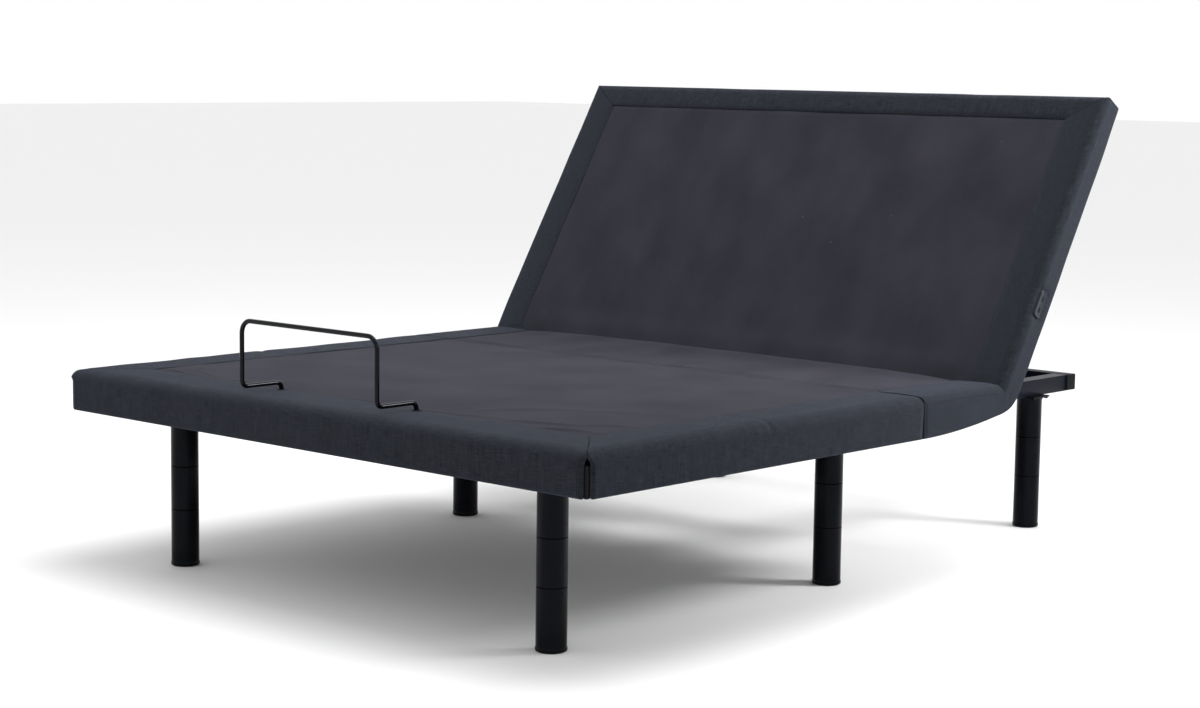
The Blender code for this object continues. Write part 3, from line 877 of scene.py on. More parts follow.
        split = end - self.gusset_reach
        stations = [start + step for step in EDGE_STEPS] + spaced(start + EDGE_REST, split, 0.010)
        if gusset:
            stations = spaced(split, end - EDGE_REST, 0.0055) + [end - step for step in reversed(EDGE_STEPS)]
        name = f"thigh_gusset_{hand}" if gusset else f"leg_border_{hand}"
        outline = self.outline(band, self.gusset_pad if gusset else self.pad)
        piece = Loft(name, outline, self.wardrobe.cloth[Cloth.LINEN], soft, Vector((0, 1, 0)))
        return piece.grow(stations, place)

    def end(self) -> bpy.types.Object:
        """Make the foot end border, mitred at both corners.

        Returns:
            The border.
        """
        plan, band = self.plan, self.end_band
        mitre = self.side_band / self.end_band

        def place(station: float, point: Point2) -> Vector:
            """Place an outline point, cutting both mitres and corner slits.

            Args:
                station: The station's X before the ends are cut.
                point: An (across, depth) point of the outline.

            Returns:
                The point's place.
            """
            across, depth = point
            slit = self.corner_gap(depth)
            reach = plan.half - 0.0006 - max(across, 0.0) * mitre - self.seam - self.corner_slit * slit
            x = reach * station / plan.half
            tuck, drop = self.cut_edge(point, band, slit, plan.half - abs(station))
            return Vector((x, plan.foot_y + 0.0006 + max(across, tuck), plan.top - drop))

        def soft(spot: Vector) -> Vector:
            """Give a point the padding's unevenness and the corner's rounding.

            Args:
                spot: The point.

            Returns:
                The moved point.
            """
            if plan.low + 0.004 < spot.z:
                spot.y -= min(0.0004, ripple(spot, 0.12, 0.0020, 5.3))
                spot.z += min(0.0006, ripple(spot, 0.10, 0.0020, 1.9))
            return self.rounded(spot)

        outline, linen = self.outline(band, self.pad), self.wardrobe.cloth[Cloth.LINEN]
        piece = Loft("leg_border_end", outline, linen, soft, Vector((1, 0, 0)))
        return piece.grow(edged(-plan.half, plan.half, 0.011), place)

    def wrinkles(self, x: float, y: float) -> float:
        """Return the height of the slack folds that run across the foot corners of the centre fabric.

        Args:
            x: The place across the deck.
            y: The place along the deck.

        Returns:
            The folds' height in metres.
        """
        corner = Vector((self.plan.half - self.side_band, self.plan.foot_y + self.end_band))
        height = 0.0
        for start, end, width, rise in self.folds:
            for hand in (1.0, -1.0):
                first, last = Vector(start), Vector(end)
                spot = Vector((x * hand, y)) - corner
                if hand < 0:
                    first, last, rise = first * 0.8, last * 0.8, rise * 0.6
                run = last - first
                share = (spot - first).dot(run) / run.length_squared
                if not 0 < share < 1:
                    continue
                away = (spot - first - run * share).length / width
                height += rise * math.sin(math.pi * share) * math.exp(-away * away)
        return height

    def deck_height(self, x: float, y: float) -> float:
        """Return how far the centre fabric stands above its lowest level at a point.

        Args:
            x: The place across the deck.
            y: The place along the deck.

        Returns:
            The height in metres.
        """
        half = self.plan.half - self.side_band - 0.0008
        edge = min(half - abs(x), y - self.plan.foot_y - self.end_band - 0.0010)
        crown = 0.0012 * smoothstep(edge / 0.15) - 0.0016 * (1 - smoothstep(edge / 0.008))
        return crown + self.wrinkles(x, y) + ripple(Vector((x, y, 0.0)), 0.16, 0.0024, 2.2)

    def centre(self) -> bpy.types.Object:
        """Make the felted centre of the leg deck, from the end border to the seam strip.

        Returns:
            The panel.
        """
        plan = self.plan
        half = plan.half - self.side_band - 0.0008
        start, end = plan.foot_y + self.end_band + 0.0010, plan.thigh.y - self.gusset_reach
        top = [(x, 0.0) for x in spaced(-half, half, 0.0062)]
        outline = top + [(half, self.pad), (-half, self.pad)]

        def place(station: float, point: Point2) -> Vector:
            """Place an outline point on the panel's uneven top or its flat back.

            Args:
                station: The station's Y.
                point: An (x, depth) point of the outline.

            Returns:
                The point's place.
            """
            x, depth = point
            lift = self.deck_height(x, station) if depth < 0.001 else 0.0
            return Vector((x, station, plan.top - 0.0012 - depth + lift))

        loft = Loft("leg_deck_centre", outline, self.wardrobe.cloth[Cloth.DECK])
        wrinkled = start + 0.30
        return loft.grow(spaced(start, wrinkled, 0.0042) + spaced(wrinkled + 0.0085, end, 0.0085), place)

    def corner_slit_shade_posts(self) -> list[bpy.types.Object]:
        """Make the dark wrapped posts deep in the slits at the foot corners: dark cloth put there as painted
        shade, so the slits read black.

        Returns:
            The two posts.
        """
        plan, pieces = self.plan, []
        hem = plan.top - self.depth + 0.0006
        under_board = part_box("foot_board")[0].z - 0.0008
        for hand, sign in (("left", -1), ("right", 1)):
            shapes = []
            for near, far, top in ((0.0090, 0.0196, plan.top - 0.0270), (0.0256, 0.0500, under_board)):
                across = sorted((sign * (plan.half - far), sign * (plan.half - near)))
                low = Vector((across[0], plan.foot_y + near, hem))
                high = Vector((across[1], plan.foot_y + far, top))
                shapes.append(rounded_box(low, high, 0.0024, 3))
            # The dark dust cloth of these posts is painted shade filling the corner slit.
            pieces.append(new_piece(f"painted_shade_post_{hand}", joined(*shapes), self.wardrobe.cloth[Cloth.DUST]))
        return pieces

    def hinge_slit_shade_flaps(self) -> list[bpy.types.Object]:
        """Make the dark flaps that close the side slits at the thigh hinge from inside: dark cloth put there
        as painted shade, so the slits read black.

        Returns:
            The two flaps.
        """
        plan, pieces = self.plan, []
        hinge, hem = plan.thigh.y, plan.top - self.depth + 0.0050
        for hand, sign in (("left", -1), ("right", 1)):
            across = sorted((sign * (plan.half - 0.0284), sign * (plan.half - 0.0262)))
            flap = rounded_box(Vector((across[0], hinge - 0.0125, hem)),
                               Vector((across[1], hinge + 0.0125, plan.top - 0.0250)), 0.0008, 2)
            lip = rounded_box(Vector((across[0], hinge - 0.0060, plan.top - 0.0300)),
                              Vector((across[1], hinge + 0.0002, plan.top - 0.0112)), 0.0008, 2)
            # The dark dust cloth of these flaps is painted shade behind the hinge slit.
            pieces.append(new_piece(f"painted_shade_flap_{hand}", joined(flap, lip), self.wardrobe.cloth[Cloth.DUST]))
        return pieces

    def bar_grommets(self) -> list[bpy.types.Object]:
        """Make the two eyelets that the retainer bar drops through.

        Returns:
            The two eyelets.
        """
        low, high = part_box("bar_bracket")
        pieces = []
        bar_low, bar_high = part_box("retainer_bar")
        for hand, x in (("left", bar_low.x), ("right", bar_high.x)):
            inward = 0.00475 if hand == "left" else -0.00475
            centre = Vector((x + inward, (low.y + high.y) / 2, self.plan.top))
            ring = [(0.0056, 0.0012), (0.0062, 0.0019), (0.0078, 0.0021), (0.0090, 0.0014),
                    (0.0094, 0.0002), (0.0090, -0.0100), (0.0058, -0.0100), (0.0056, 0.0012)]
            body = lathe(ring, centre, Vector((0, 0, 1)), 32)
            pieces.append(new_piece(f"bar_eyelet_{hand}", body, self.wardrobe.rubber))
        return pieces

    def build(self) -> list[bpy.types.Object]:
        """Build the leg deck; the end border, eyelets and corner-slit posts ride on the foot section, the
        hinge-slit flaps on the base, and the rest stays where it is built.

        Returns:
            The borders, the centre and the gussets.
        """
        left, right, end, centre = self.side("left"), self.side("right"), self.end(), self.centre()
        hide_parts("foot_border_left", "thigh_border_left")
        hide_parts("foot_border_right", "thigh_border_right")
        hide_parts("foot_border_end")
        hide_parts("foot_pad", "thigh_pad")
        knee = self.plan.knee
        before = (0.0, knee.y + self.bend_reach, knee.z)
        after = (0.0, knee.y - self.bend_reach, knee.z)
        for piece in (left, right, centre):
            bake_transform(piece)
        gussets = [self.side("left", True), self.side("right", True)]
        thigh = self.plan.thigh
        for piece in gussets:
            tuple(thigh)
            thigh.y - self.gusset_reach
            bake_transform(piece)
        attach(end, "foot")
        for piece in self.bar_grommets() + self.corner_slit_shade_posts():
            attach(piece, "foot")
        for piece in self.hinge_slit_shade_flaps():
            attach(piece, "base")
        return [left, right, end, centre, *gussets]


@dataclass
class SeamStrip:
    """The seamed strip of deck fabric that bridges the thigh hinge."""

    plan: DeckPlan
    wardrobe: Wardrobe
    legs: LegDeck
    thickness: float = 0.010

    def place(self, station: float, point: Point2) -> Vector:
        """Return the place of an outline point, which runs into the leg deck's fabric on one side.

        Args:
            station: The station's Y.
            point: An (x, depth) point of the outline.

        Returns:
            The point's place.
        """
        plan, reach = self.plan, self.legs.strip_reach
        x, depth = point
        half = plan.half - self.legs.side_band - 0.0008
        edge = min(half - abs(x), plan.thigh.y + reach - station)
        crease = bulge(station, 0.0016, plan.thigh.y, 0.004)
        own = -0.0020 * (1 - smoothstep(edge / 0.006)) - crease
        own += ripple(Vector((x, station, 0.0)), 0.07, 0.0008, 4.4)
        toward_legs = smoothstep((plan.thigh.y - 0.012 - station) / 0.040)
        lift = own + (self.legs.deck_height(x, station) - own) * toward_legs if depth < 0.001 else 0.0
        return Vector((x, station, plan.top - 0.0011 - depth + lift - 0.0001 * toward_legs))

    def build(self) -> bpy.types.Object:
        """Build the strip in its place.

        Returns:
            The strip.
        """
        plan, legs = self.plan, self.legs
        half = plan.half - legs.side_band - 0.0008
        start, end = plan.thigh.y - legs.gusset_reach, plan.thigh.y + legs.strip_reach - 0.0006
        outline = [(x, 0.0) for x in spaced(-half, half, 0.0062)]
        outline += [(half, self.thickness), (-half, self.thickness)]
        loft = Loft("thigh_seam_strip", outline, self.wardrobe.cloth[Cloth.DECK])
        piece = loft.grow(spaced(start, end, 0.0038), self.place)
        tuple(plan.thigh)
        plan.thigh.y - legs.gusset_reach
        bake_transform(piece)
        return piece


@dataclass
class HeadDeck:
    """The seat and head sections' upholstery, creased at the head hinge."""

    plan: DeckPlan
    wardrobe: Wardrobe
    seat_band: float = 0.122
    head_band: float = 0.088
    top_band: float = 0.066
    thickness: float = 0.0640
    top_thickness: float = 0.0612
    edge_radius: float = 0.017
    pad: float = 0.0236
    rail: float = 0.0238
    hem_radius: float = 0.006
    back_fold: float = 0.036
    crease_reach: float = 0.007
    bend_reach: float = 0.048
    strip_reach: float = 0.020
    lower_rise: float = 0.023
    swell: float = 0.0045
    hem_drop: float = 0.0040
    dimple: float = 0.0034
    socket_half: Point2 = (0.030, 0.012)
    head_rail: float = 0.0118
    lining: float = 0.0016
    tuck: float = 0.0022
    seat_roll: tuple[float, float, float] = (0.0052, -0.036, 0.026)
    head_roll: tuple[float, float, float] = (0.0040, 0.045, 0.030)
    groove: tuple[float, float, float] = (0.0030, 0.0, 0.006)
    turn_from: float = -0.020
    turn_to: float = 0.0648
    stations: list[tuple[float, Point2, Point2]] = field(default_factory=list)
    marks: dict[str, int] = field(default_factory=dict)

    def __post_init__(self) -> None:
        """Work out the side's stations, each with its top and bottom (y, z) point."""
        self.stations = self.side_stations()

    @property
    def cover(self) -> float:
        """The deck top's height above the head pivot."""
        return self.plan.top - self.plan.head.z

    @property
    def crease(self) -> float:
        """How far before the pivot the deck's faces meet."""
        return self.cover * math.tan(self.plan.tilt / 2)

    def top_point(self, along: float) -> Point2:
        """Return a point on the deck line, with the crease rounded.

        Args:
            along: Metres of cloth past the crease.

        Returns:
            The (y, z) point.
        """
        plan, reach = self.plan, self.crease_reach
        seat_crease = plan.head.y - self.crease
        if along < -reach:
            return seat_crease + along, plan.top
        if along > reach:
            return plan.on_head(along - self.crease, self.cover)
        first = Vector((seat_crease - reach, plan.top))
        last = Vector(plan.on_head(reach - self.crease, self.cover))
        corner = Vector((seat_crease, plan.top))
        share = (along + reach) / (2 * reach)
        spot = first * (1 - share) ** 2 + corner * 2 * share * (1 - share) + last * share ** 2
        return spot.x, spot.y

    def low_point(self, share: float) -> Point2:
        """Return the lower edge's point on its sweep from the seat's underside to the head's back.

        Args:
            share: How far round the sweep, from 0 to 1.

        Returns:
            The (y, z) point.
        """
        plan = self.plan
        first = Vector((plan.head.y + self.turn_from, self.seat_low(self.turn_from)))
        last = Vector(plan.on_head(self.turn_to, self.cover - self.thickness))
        along = Vector((math.cos(plan.tilt), math.sin(plan.tilt)))
        second, third = first + Vector((0.060, 0.007)), last - along * 0.058
        rest = 1 - share
        spot = first * rest ** 3 + second * 3 * share * rest ** 2
        spot = spot + third * 3 * share ** 2 * rest + last * share ** 3
        return spot.x, spot.y

    def seat_low(self, offset: float) -> float:
        """Return the seat border's lower edge height at a distance from the head pivot.

        Args:
            offset: Metres past the head pivot, negative on the seat.

        Returns:
            The height in metres.
        """
        plan = self.plan
        span = plan.head.y - plan.thigh.y - 0.0137
        share = (offset + plan.head.y - plan.thigh.y) / span
        return plan.low - self.hem_drop + self.lower_rise * share * share

    def side_stations(self) -> list[tuple[float, Point2, Point2]]:
        """Work out the stations of the sides.

        Returns:
            The cloth length, top point and bottom point of every station.
        """
        plan = self.plan
        seat_start = plan.thigh.y - plan.head.y
        found = []
        offsets = [seat_start + step for step in EDGE_STEPS]
        offsets += spaced(seat_start + EDGE_REST, self.turn_from - 0.008, 0.009)
        for offset in offsets:
            y = plan.head.y + offset
            found.append((offset, (y, plan.top), (y, self.seat_low(offset))))
        top_start, top_end = self.turn_from + self.crease, self.turn_to + self.crease
        for share in spaced(0.0, 1.0, 1 / 34):
            along = top_start + (top_end - top_start) * share
            found.append((self.turn_from + (along - top_start), self.top_point(along), self.low_point(share)))
        for reach in spaced(self.turn_to + 0.010, plan.head_end + self.swell, 0.0065):
            near_top = smoothstep((reach - plan.head_end + 0.12) / 0.12)
            tall = self.thickness + (self.top_thickness - self.thickness) * near_top
            found.append((reach, plan.on_head(reach, self.cover), plan.on_head(reach, self.cover - tall)))
        return found

    def band_at(self, reach: float) -> float:
        """Return the side band's width, which narrows over the crease."""
        return self.seat_band + (self.head_band - self.seat_band) * smoothstep((reach + 0.03) / 0.06)

    def side_outline(self) -> list[Point2]:
        """Work out the outline of the sides and mark where its stretches end.

        Returns:
            Each point as how far in, a share of the band or metres, and the depth.
        """
        radius = self.edge_radius
        top = [(across, 0.0) for across in spaced(0.998, 0.30, 0.075)]
        corner = arc((radius, radius), radius, -90, -180, 8)
        face = [(0.0, 10.0 + share) for share in spaced(0.10, 0.90, 0.08)]
        hem = arc((self.hem_radius, self.hem_radius), self.hem_radius, 180, 270, 4)
        self.marks = {"top": len(top), "corner": len(corner), "face": len(face), "hem": len(hem)}
        inside = [(self.back_fold, 0.0), (self.back_fold, self.lining), (self.rail, self.lining),
                  (self.rail, self.pad), (1.0, self.pad), (1.0, 0.006)]
        return top + corner + face + hem + inside

    def side(self, hand: str) -> bpy.types.Object:
        """Make one side of the seat and head: top band, face and the fold under the board.

        Args:
            hand: "left" or "right".

        Returns:
            The side.
        """
        sign = -1.0 if hand == "left" else 1.0
        plan, outline = self.plan, self.side_outline()
        marks = self.marks
        first_corner = marks["top"]
        first_face = first_corner + marks["corner"]
        first_hem = first_face + marks["face"]
        first_inside = first_hem + marks["hem"]
        start, end = self.stations[0][0], self.stations[-1][0]
        socket_along, socket_height = plan.socket_centre()
        by_length = {station: (Vector(top), Vector(low)) for station, top, low in self.stations}
        numbers = {point: index for index, point in enumerate(outline)}

        def place(station: float, point: Point2) -> Vector:
            """Place an outline point between the station's top and bottom points.

            Args:
                station: Metres of cloth past the head pivot.
                point: A point of the outline.

            Returns:
                The point's place.
            """
            index = numbers[point]
            top, low = by_length[station]
            down = (low - top).normalized()
            tall = (low - top).length
            band = self.band_at(station)
            rail = self.rail if station < self.turn_from else self.head_rail
            if index < first_corner:
                across, depth = point[0] * band, 0.0
            elif index < first_face:
                across, depth = point
            elif index < first_hem:
                share = point[1] - 10.0
                across = 0.0
                depth = self.edge_radius + (tall - self.edge_radius - self.hem_radius) * share
            elif index < first_inside:
                across, depth = point[0], tall - point[1]
            else:
                step = index - first_inside
                across = (self.back_fold, self.back_fold, rail, rail, band, band)[step]
                lined = tall - self.lining
                depth = (tall, lined, lined, self.pad, self.pad, 0.006)[step]
            pull = min(station - start, end - station)
            crown = 0.0014 * math.sin(math.pi * min(1.0, across / band)) if index < first_corner else 0.0
            crown -= 0.0010 * (index == 0)
            mitre = self.top_band / self.head_band
            spot = top + down * (depth - crown)
            shift = 0.0
            if station > self.turn_to:
                whole = end - self.turn_to
                cut = end - max(across, 0.0) * mitre * (across <= band + 1e-6) - 0.0008
                shift = (cut - end) * (station - self.turn_to) / whole
                if index >= first_inside and index < first_inside + 4:
                    shift = -0.0008 - min(across, 0.012)
                    shift *= (station - self.turn_to) / whole
            elif station < start + 0.03:
                slit = 0.0012 + 0.0026 * smoothstep(depth / tall * 1.3 - 0.2)
                shift = slit * (1 - (station - start) / 0.03)
            turned = plan.tilt if station > 0.05 else 0.0
            heading = Vector((math.cos(turned), math.sin(turned)))
            spot = spot + heading * shift
            near_cut = self.tuck * (1 - smoothstep(pull / 0.012)) if index >= first_corner - 2 else 0.0
            out = plan.half - 0.0008 + self.swell * smoothstep((station + 0.05) / 0.14)
            if hand == "right" and first_corner <= index < first_inside:
                away = math.hypot(max(0.0, abs(station - socket_along) - self.socket_half[0]),
                                  max(0.0, abs(self.cover - depth - socket_height) - self.socket_half[1]))
                out -= bulge(away, self.dimple, 0.0, 0.009)
            return Vector((sign * (out - max(across, near_cut)), spot.x, spot.y))

        def soft(spot: Vector) -> Vector:
            """Give a point the padding's unevenness."""
            spot.x += sign * min(0.0003, ripple(spot, 0.12, 0.0011, 6.1))
            return spot

        loft = Loft(f"seat_head_border_{hand}", outline, self.wardrobe.cloth[Cloth.LINEN], soft)
        return loft.grow([station for station, _, _ in self.stations], place)

    def centre(self) -> bpy.types.Object:
        """Make the centre panel of the seat and head, with the soft roll before its crease.

        Returns:
            The panel.
        """
        plan = self.plan
        half = plan.half - self.seat_band - 0.0008
        narrow = plan.half + self.swell - self.head_band - 0.0003
        start = plan.thigh.y - plan.head.y + self.strip_reach + self.crease
        end = plan.head_end + self.swell + self.crease - self.top_band - 0.0003
        outline = [(x, 0.0) for x in spaced(-1.0, 1.0, 0.0068)] + [(1.0, 1.0), (-1.0, 1.0)]
        edge_roll = 0.0014

        def width_at(along: float) -> float:
            """Return half the panel's width, which grows over the crease."""
            return half + (narrow - half) * smoothstep((along - self.crease + 0.03) / 0.06)

        def place(station: float, point: Point2) -> Vector:
            """Place an outline point, with the roll and the groove of the crease.

            Args:
                station: Metres of cloth past the crease.
                point: A share of the half width, and 0 for the top or 1 for the back.

            Returns:
                The point's place.
            """
            share, side = point
            y, z = self.top_point(station)
            before, after = self.top_point(station - 0.002), self.top_point(station + 0.002)
            run = (Vector(after) - Vector(before)).normalized()
            up = Vector((-run.y, run.x))
            x = share * width_at(station)
            edge = min(width_at(station) - abs(x), station - start, end - station)
            lift = -0.0010
            if side < 0.5:
                bow = bulge(station, 0.0035, 0.0, 0.030) * (1 - share * share)
                roll = bulge(station, *self.seat_roll) + bulge(station, *self.head_roll)
                wide = smoothstep((1 - abs(share)) / 0.12)
                lift += roll * wide + bow - bulge(station, *self.groove) + 0.0030 * smoothstep(edge / 0.25)
                lift -= edge_roll * (1 - smoothstep(edge / 0.009))
                lift += ripple(Vector((x, station, 0.0)), 0.15, 0.0015, 8.8)
            else:
                lift -= self.pad if abs(station) > 0.02 else self.pad * 0.5
            return Vector((x, y + up.x * lift, z + up.y * lift))

        loft = Loft("seat_head_centre", outline, self.wardrobe.cloth[Cloth.DECK])
        stations = spaced(start, -0.030, 0.008) + spaced(-0.026, 0.030, 0.003) + spaced(0.036, end, 0.009)
        return loft.grow(stations, place)

    def top(self) -> bpy.types.Object:
        """Make the head section's top border, mitred into the sides.

        Returns:
            The border.
        """
        plan, band, radius = self.plan, self.top_band, self.edge_radius
        tall, hem = self.top_thickness, self.hem_radius
        face = [(x, 0.0) for x in spaced(band - 0.004, radius + 0.004, 0.010)]
        corner = arc((radius, radius), radius, -90, -180, 8)
        edge = [(0.0, z) for z in spaced(radius + 0.005, tall - hem - 0.003, 0.008)]
        fold = arc((hem, tall - hem), hem, 180, 90, 4)
        lined, rail = tall - self.lining, self.head_rail
        inside = [(self.back_fold, tall), (self.back_fold, lined), (rail, lined), (rail, self.pad),
                  (band, self.pad), (band, 0.006), (band - 0.0008, 0.0018)]
        outline = face + corner + edge + fold + inside
        mitre = self.head_band / self.top_band

        def place(station: float, point: Point2) -> Vector:
            """Place an outline point on the head section, cutting both mitres.

            Args:
                station: The station's X before the ends are cut.
                point: An (across, depth) point of the outline.

            Returns:
                The point's place.
            """
            across, depth = point
            reach = plan.half + self.swell - min(across, band) * mitre - 0.0016
            if depth > self.pad:
                reach = plan.half + self.swell - 0.0020 - min(across, 0.012)
            x = reach * station / plan.half
            pull = plan.half - abs(station)
            tuck = self.tuck * (1 - smoothstep(pull / 0.012)) if across < radius else 0.0
            crown = 0.0012 * math.sin(math.pi * min(1.0, across / band)) if depth < 0.0001 else 0.0
            reach_y = plan.head_end + self.swell - 0.0004 - max(across, tuck)
            y, z = plan.on_head(reach_y, self.cover - depth + crown)
            return Vector((x, y, z))

        def soft(spot: Vector) -> Vector:
            """Give a point the padding's unevenness."""
            spot.z -= max(0.0, ripple(spot, 0.14, 0.0012, 9.4))
            return spot

        loft = Loft("head_top_border", outline, self.wardrobe.cloth[Cloth.LINEN], soft, Vector((1, 0, 0)))
        return loft.grow(edged(-plan.half, plan.half, 0.011), place)

    def build(self) -> list[bpy.types.Object]:
        """Build the seat and head upholstery, grown creased over the head hinge, and let the top border ride
        on the head section.

        Returns:
            The two sides, the top border and the centre.
        """
        left, right, centre, top = self.side("left"), self.side("right"), self.centre(), self.top()
        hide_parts("seat_border_left")
        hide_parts("seat_border_right")
        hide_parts("seat_pad", "head_pad")
        pivot = self.plan.head
        lean = Vector((0.0, math.cos(self.plan.tilt / 2), math.sin(self.plan.tilt / 2)))
        for piece in (left, right, centre):
            tuple(pivot - lean * self.bend_reach)
            tuple(pivot + lean * self.bend_reach)
            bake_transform(piece)
        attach(top, "head")
        return [left, right, top, centre]


@dataclass
class Legs:
    """Six screwed legs with flared glides, collars and bolted plates, all in gloss lacquer."""

    wardrobe: Wardrobe
    radius: float = 0.0295
    lip: float = 0.0010
    ease: float = 0.0009

    def section(self, node: str, level: str) -> bpy.types.Object:
        """Make one turned leg section in a CAD section's place.

        Args:
            node: The CAD leg section's name.
            level: Which of the three sections it is, "top" or "bottom" at the ends.

        Returns:
            The piece.
        """
        low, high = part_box(node)
        centre = Vector(((low.x + high.x) / 2, (low.y + high.y) / 2, 0.0))
        ease, radius = self.ease, self.radius
        bottom = low.z
        parts = []
        if level == "top":
            plate_low = high.z - 0.004
            parts.append(rounded_box(Vector((low.x, low.y, plate_low)), high, 0.0012))
            profile = [(0.0, bottom), (radius - ease, bottom), (radius, bottom + ease),
                       (radius, plate_low - 0.006), (radius + 0.0016, plate_low - 0.003),
                       (radius + 0.003, plate_low + 0.0004), (0.0, plate_low + 0.0004)]
            for side_x in (-1, 1):
                for side_y in (-1, 1):
                    spot = centre + Vector((side_x * 0.0275, side_y * 0.0275, plate_low))
                    head = [(0.0, -0.0034), (0.0036, -0.0034), (0.0050, -0.0020), (0.0052, 0.0004),
                            (0.0, 0.0004)]
                    parts.append(lathe(head, spot, Vector((0, 0, 1)), 16))
        else:
            stud_top = high.z
            top = stud_top - 0.014
            profile = [(0.0, bottom), (radius - ease, bottom), (radius, bottom + ease), (radius, top - ease),
                       (radius - ease, top), (0.008, top), (0.008, stud_top - 0.001),
                       (0.0072, stud_top), (0.0, stud_top)]
            if level == "bottom":
                wide = radius + self.lip
                profile[1:3] = [(wide - 0.004, bottom), (wide - 0.0004, bottom + 0.0022),
                                (wide, bottom + 0.0040), (wide, bottom + 0.0075),
                                (radius + 0.0002, bottom + 0.0095), (radius, bottom + 0.0110)]
        parts.append(lathe(profile, centre, Vector((0, 0, 1)), 72))
        piece = new_piece(node + "_turned", joined(*parts), self.wardrobe.lacquer[Lacquer.GLOSS], 30.0)
        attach(piece, "base")
        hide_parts(node)
        return piece

    def build(self) -> list[bpy.types.Object]:
        """Build all eighteen sections."""
        names = [name for name in frame["nodes"] if name.startswith("leg_")]
        return [self.section(name, name.rsplit("_", 1)[1]) for name in sorted(names)]


@dataclass
class RetainerBar:
    """The bent mattress retainer."""

    wardrobe: Wardrobe
    radius: float = 0.00475
    top_bend: float = 0.026
    low_bend: float = 0.013

    def build(self) -> bpy.types.Object:
        """Build the bar as one round rod along its bends.

        Returns:
            The bar.
        """
        low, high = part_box("retainer_bar")
        r = self.radius
        x, post, leg = high.x - r, low.y + r, high.y - r
        top, bottom = high.z - r, low.z
        run = self.run_height(leg)
        half = [Vector((-x, y, z)) for y, z in ((leg, bottom), (leg, run), (post, run), (post, top))]
        corners = half + [Vector((-p.x, p.y, p.z)) for p in reversed(half)]
        bends = [self.low_bend, self.low_bend, self.top_bend, self.top_bend, self.low_bend, self.low_bend]
        points = [corners[0]]
        for index, bend in enumerate(bends, start=1):
            points += self.bent(corners[index - 1], corners[index], corners[index + 1], bend)
        points.append(corners[-1])
        curve = bpy.data.curves.new("retainer_bar_rod", "CURVE")
        curve.dimensions = "3D"
        spline = curve.splines.new("POLY")
        spline.points.add(len(points) - 1)
        for knot, spot in zip(spline.points, points):
            knot.co = (*spot, 1.0)
        curve.bevel_depth, curve.bevel_resolution, curve.use_fill_caps = r, 6, True
        rod = bpy.data.objects.new("retainer_bar_rod", curve)
        bpy.context.scene.collection.objects.link(rod)
        mesh = bpy.data.meshes.new_from_object(rod.evaluated_get(bpy.context.evaluated_depsgraph_get()))
        bpy.data.objects.remove(rod)
        built = bmesh.new()
        built.from_mesh(mesh)
        bmesh.ops.remove_doubles(built, verts=built.verts, dist=0.00001)
        piece = new_piece("retainer_bar_bent", built, self.wardrobe.rod, 50.0)
        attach(piece, "retainer")
        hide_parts("retainer_bar")
        return piece

    def run_height(self, leg: float) -> float:
        """Return the height of the bar's level run, from the CAD bar's own vertices there.

        Args:
            leg: The Y of the bar's legs.

        Returns:
            The height of the run's centre line.
        """
        verts = frame["nodes"]["retainer_bar"].data.vertices
        middle = [v.co.z for v in verts if abs(v.co.y - leg + 0.045) < 0.05 and v.co.z > 0.40]
        return min(middle) + self.radius

    def bent(self, before: Vector, corner: Vector, after: Vector, bend: float) -> list[Vector]:
        """Return the points of one round bend of the bar.

        Args:
            before: The corner before this one.
            corner: The corner to round.
            after: The corner after it.
            bend: The bend's radius.

        Returns:
            The points along the bend.
        """
        one, two = (before - corner).normalized(), (after - corner).normalized()
        centre = corner + (one + two) * bend
        turns = (math.pi / 2 * step / 10 for step in range(11))
        return [centre - (two * math.cos(turn) + one * math.sin(turn)) * bend for turn in turns]


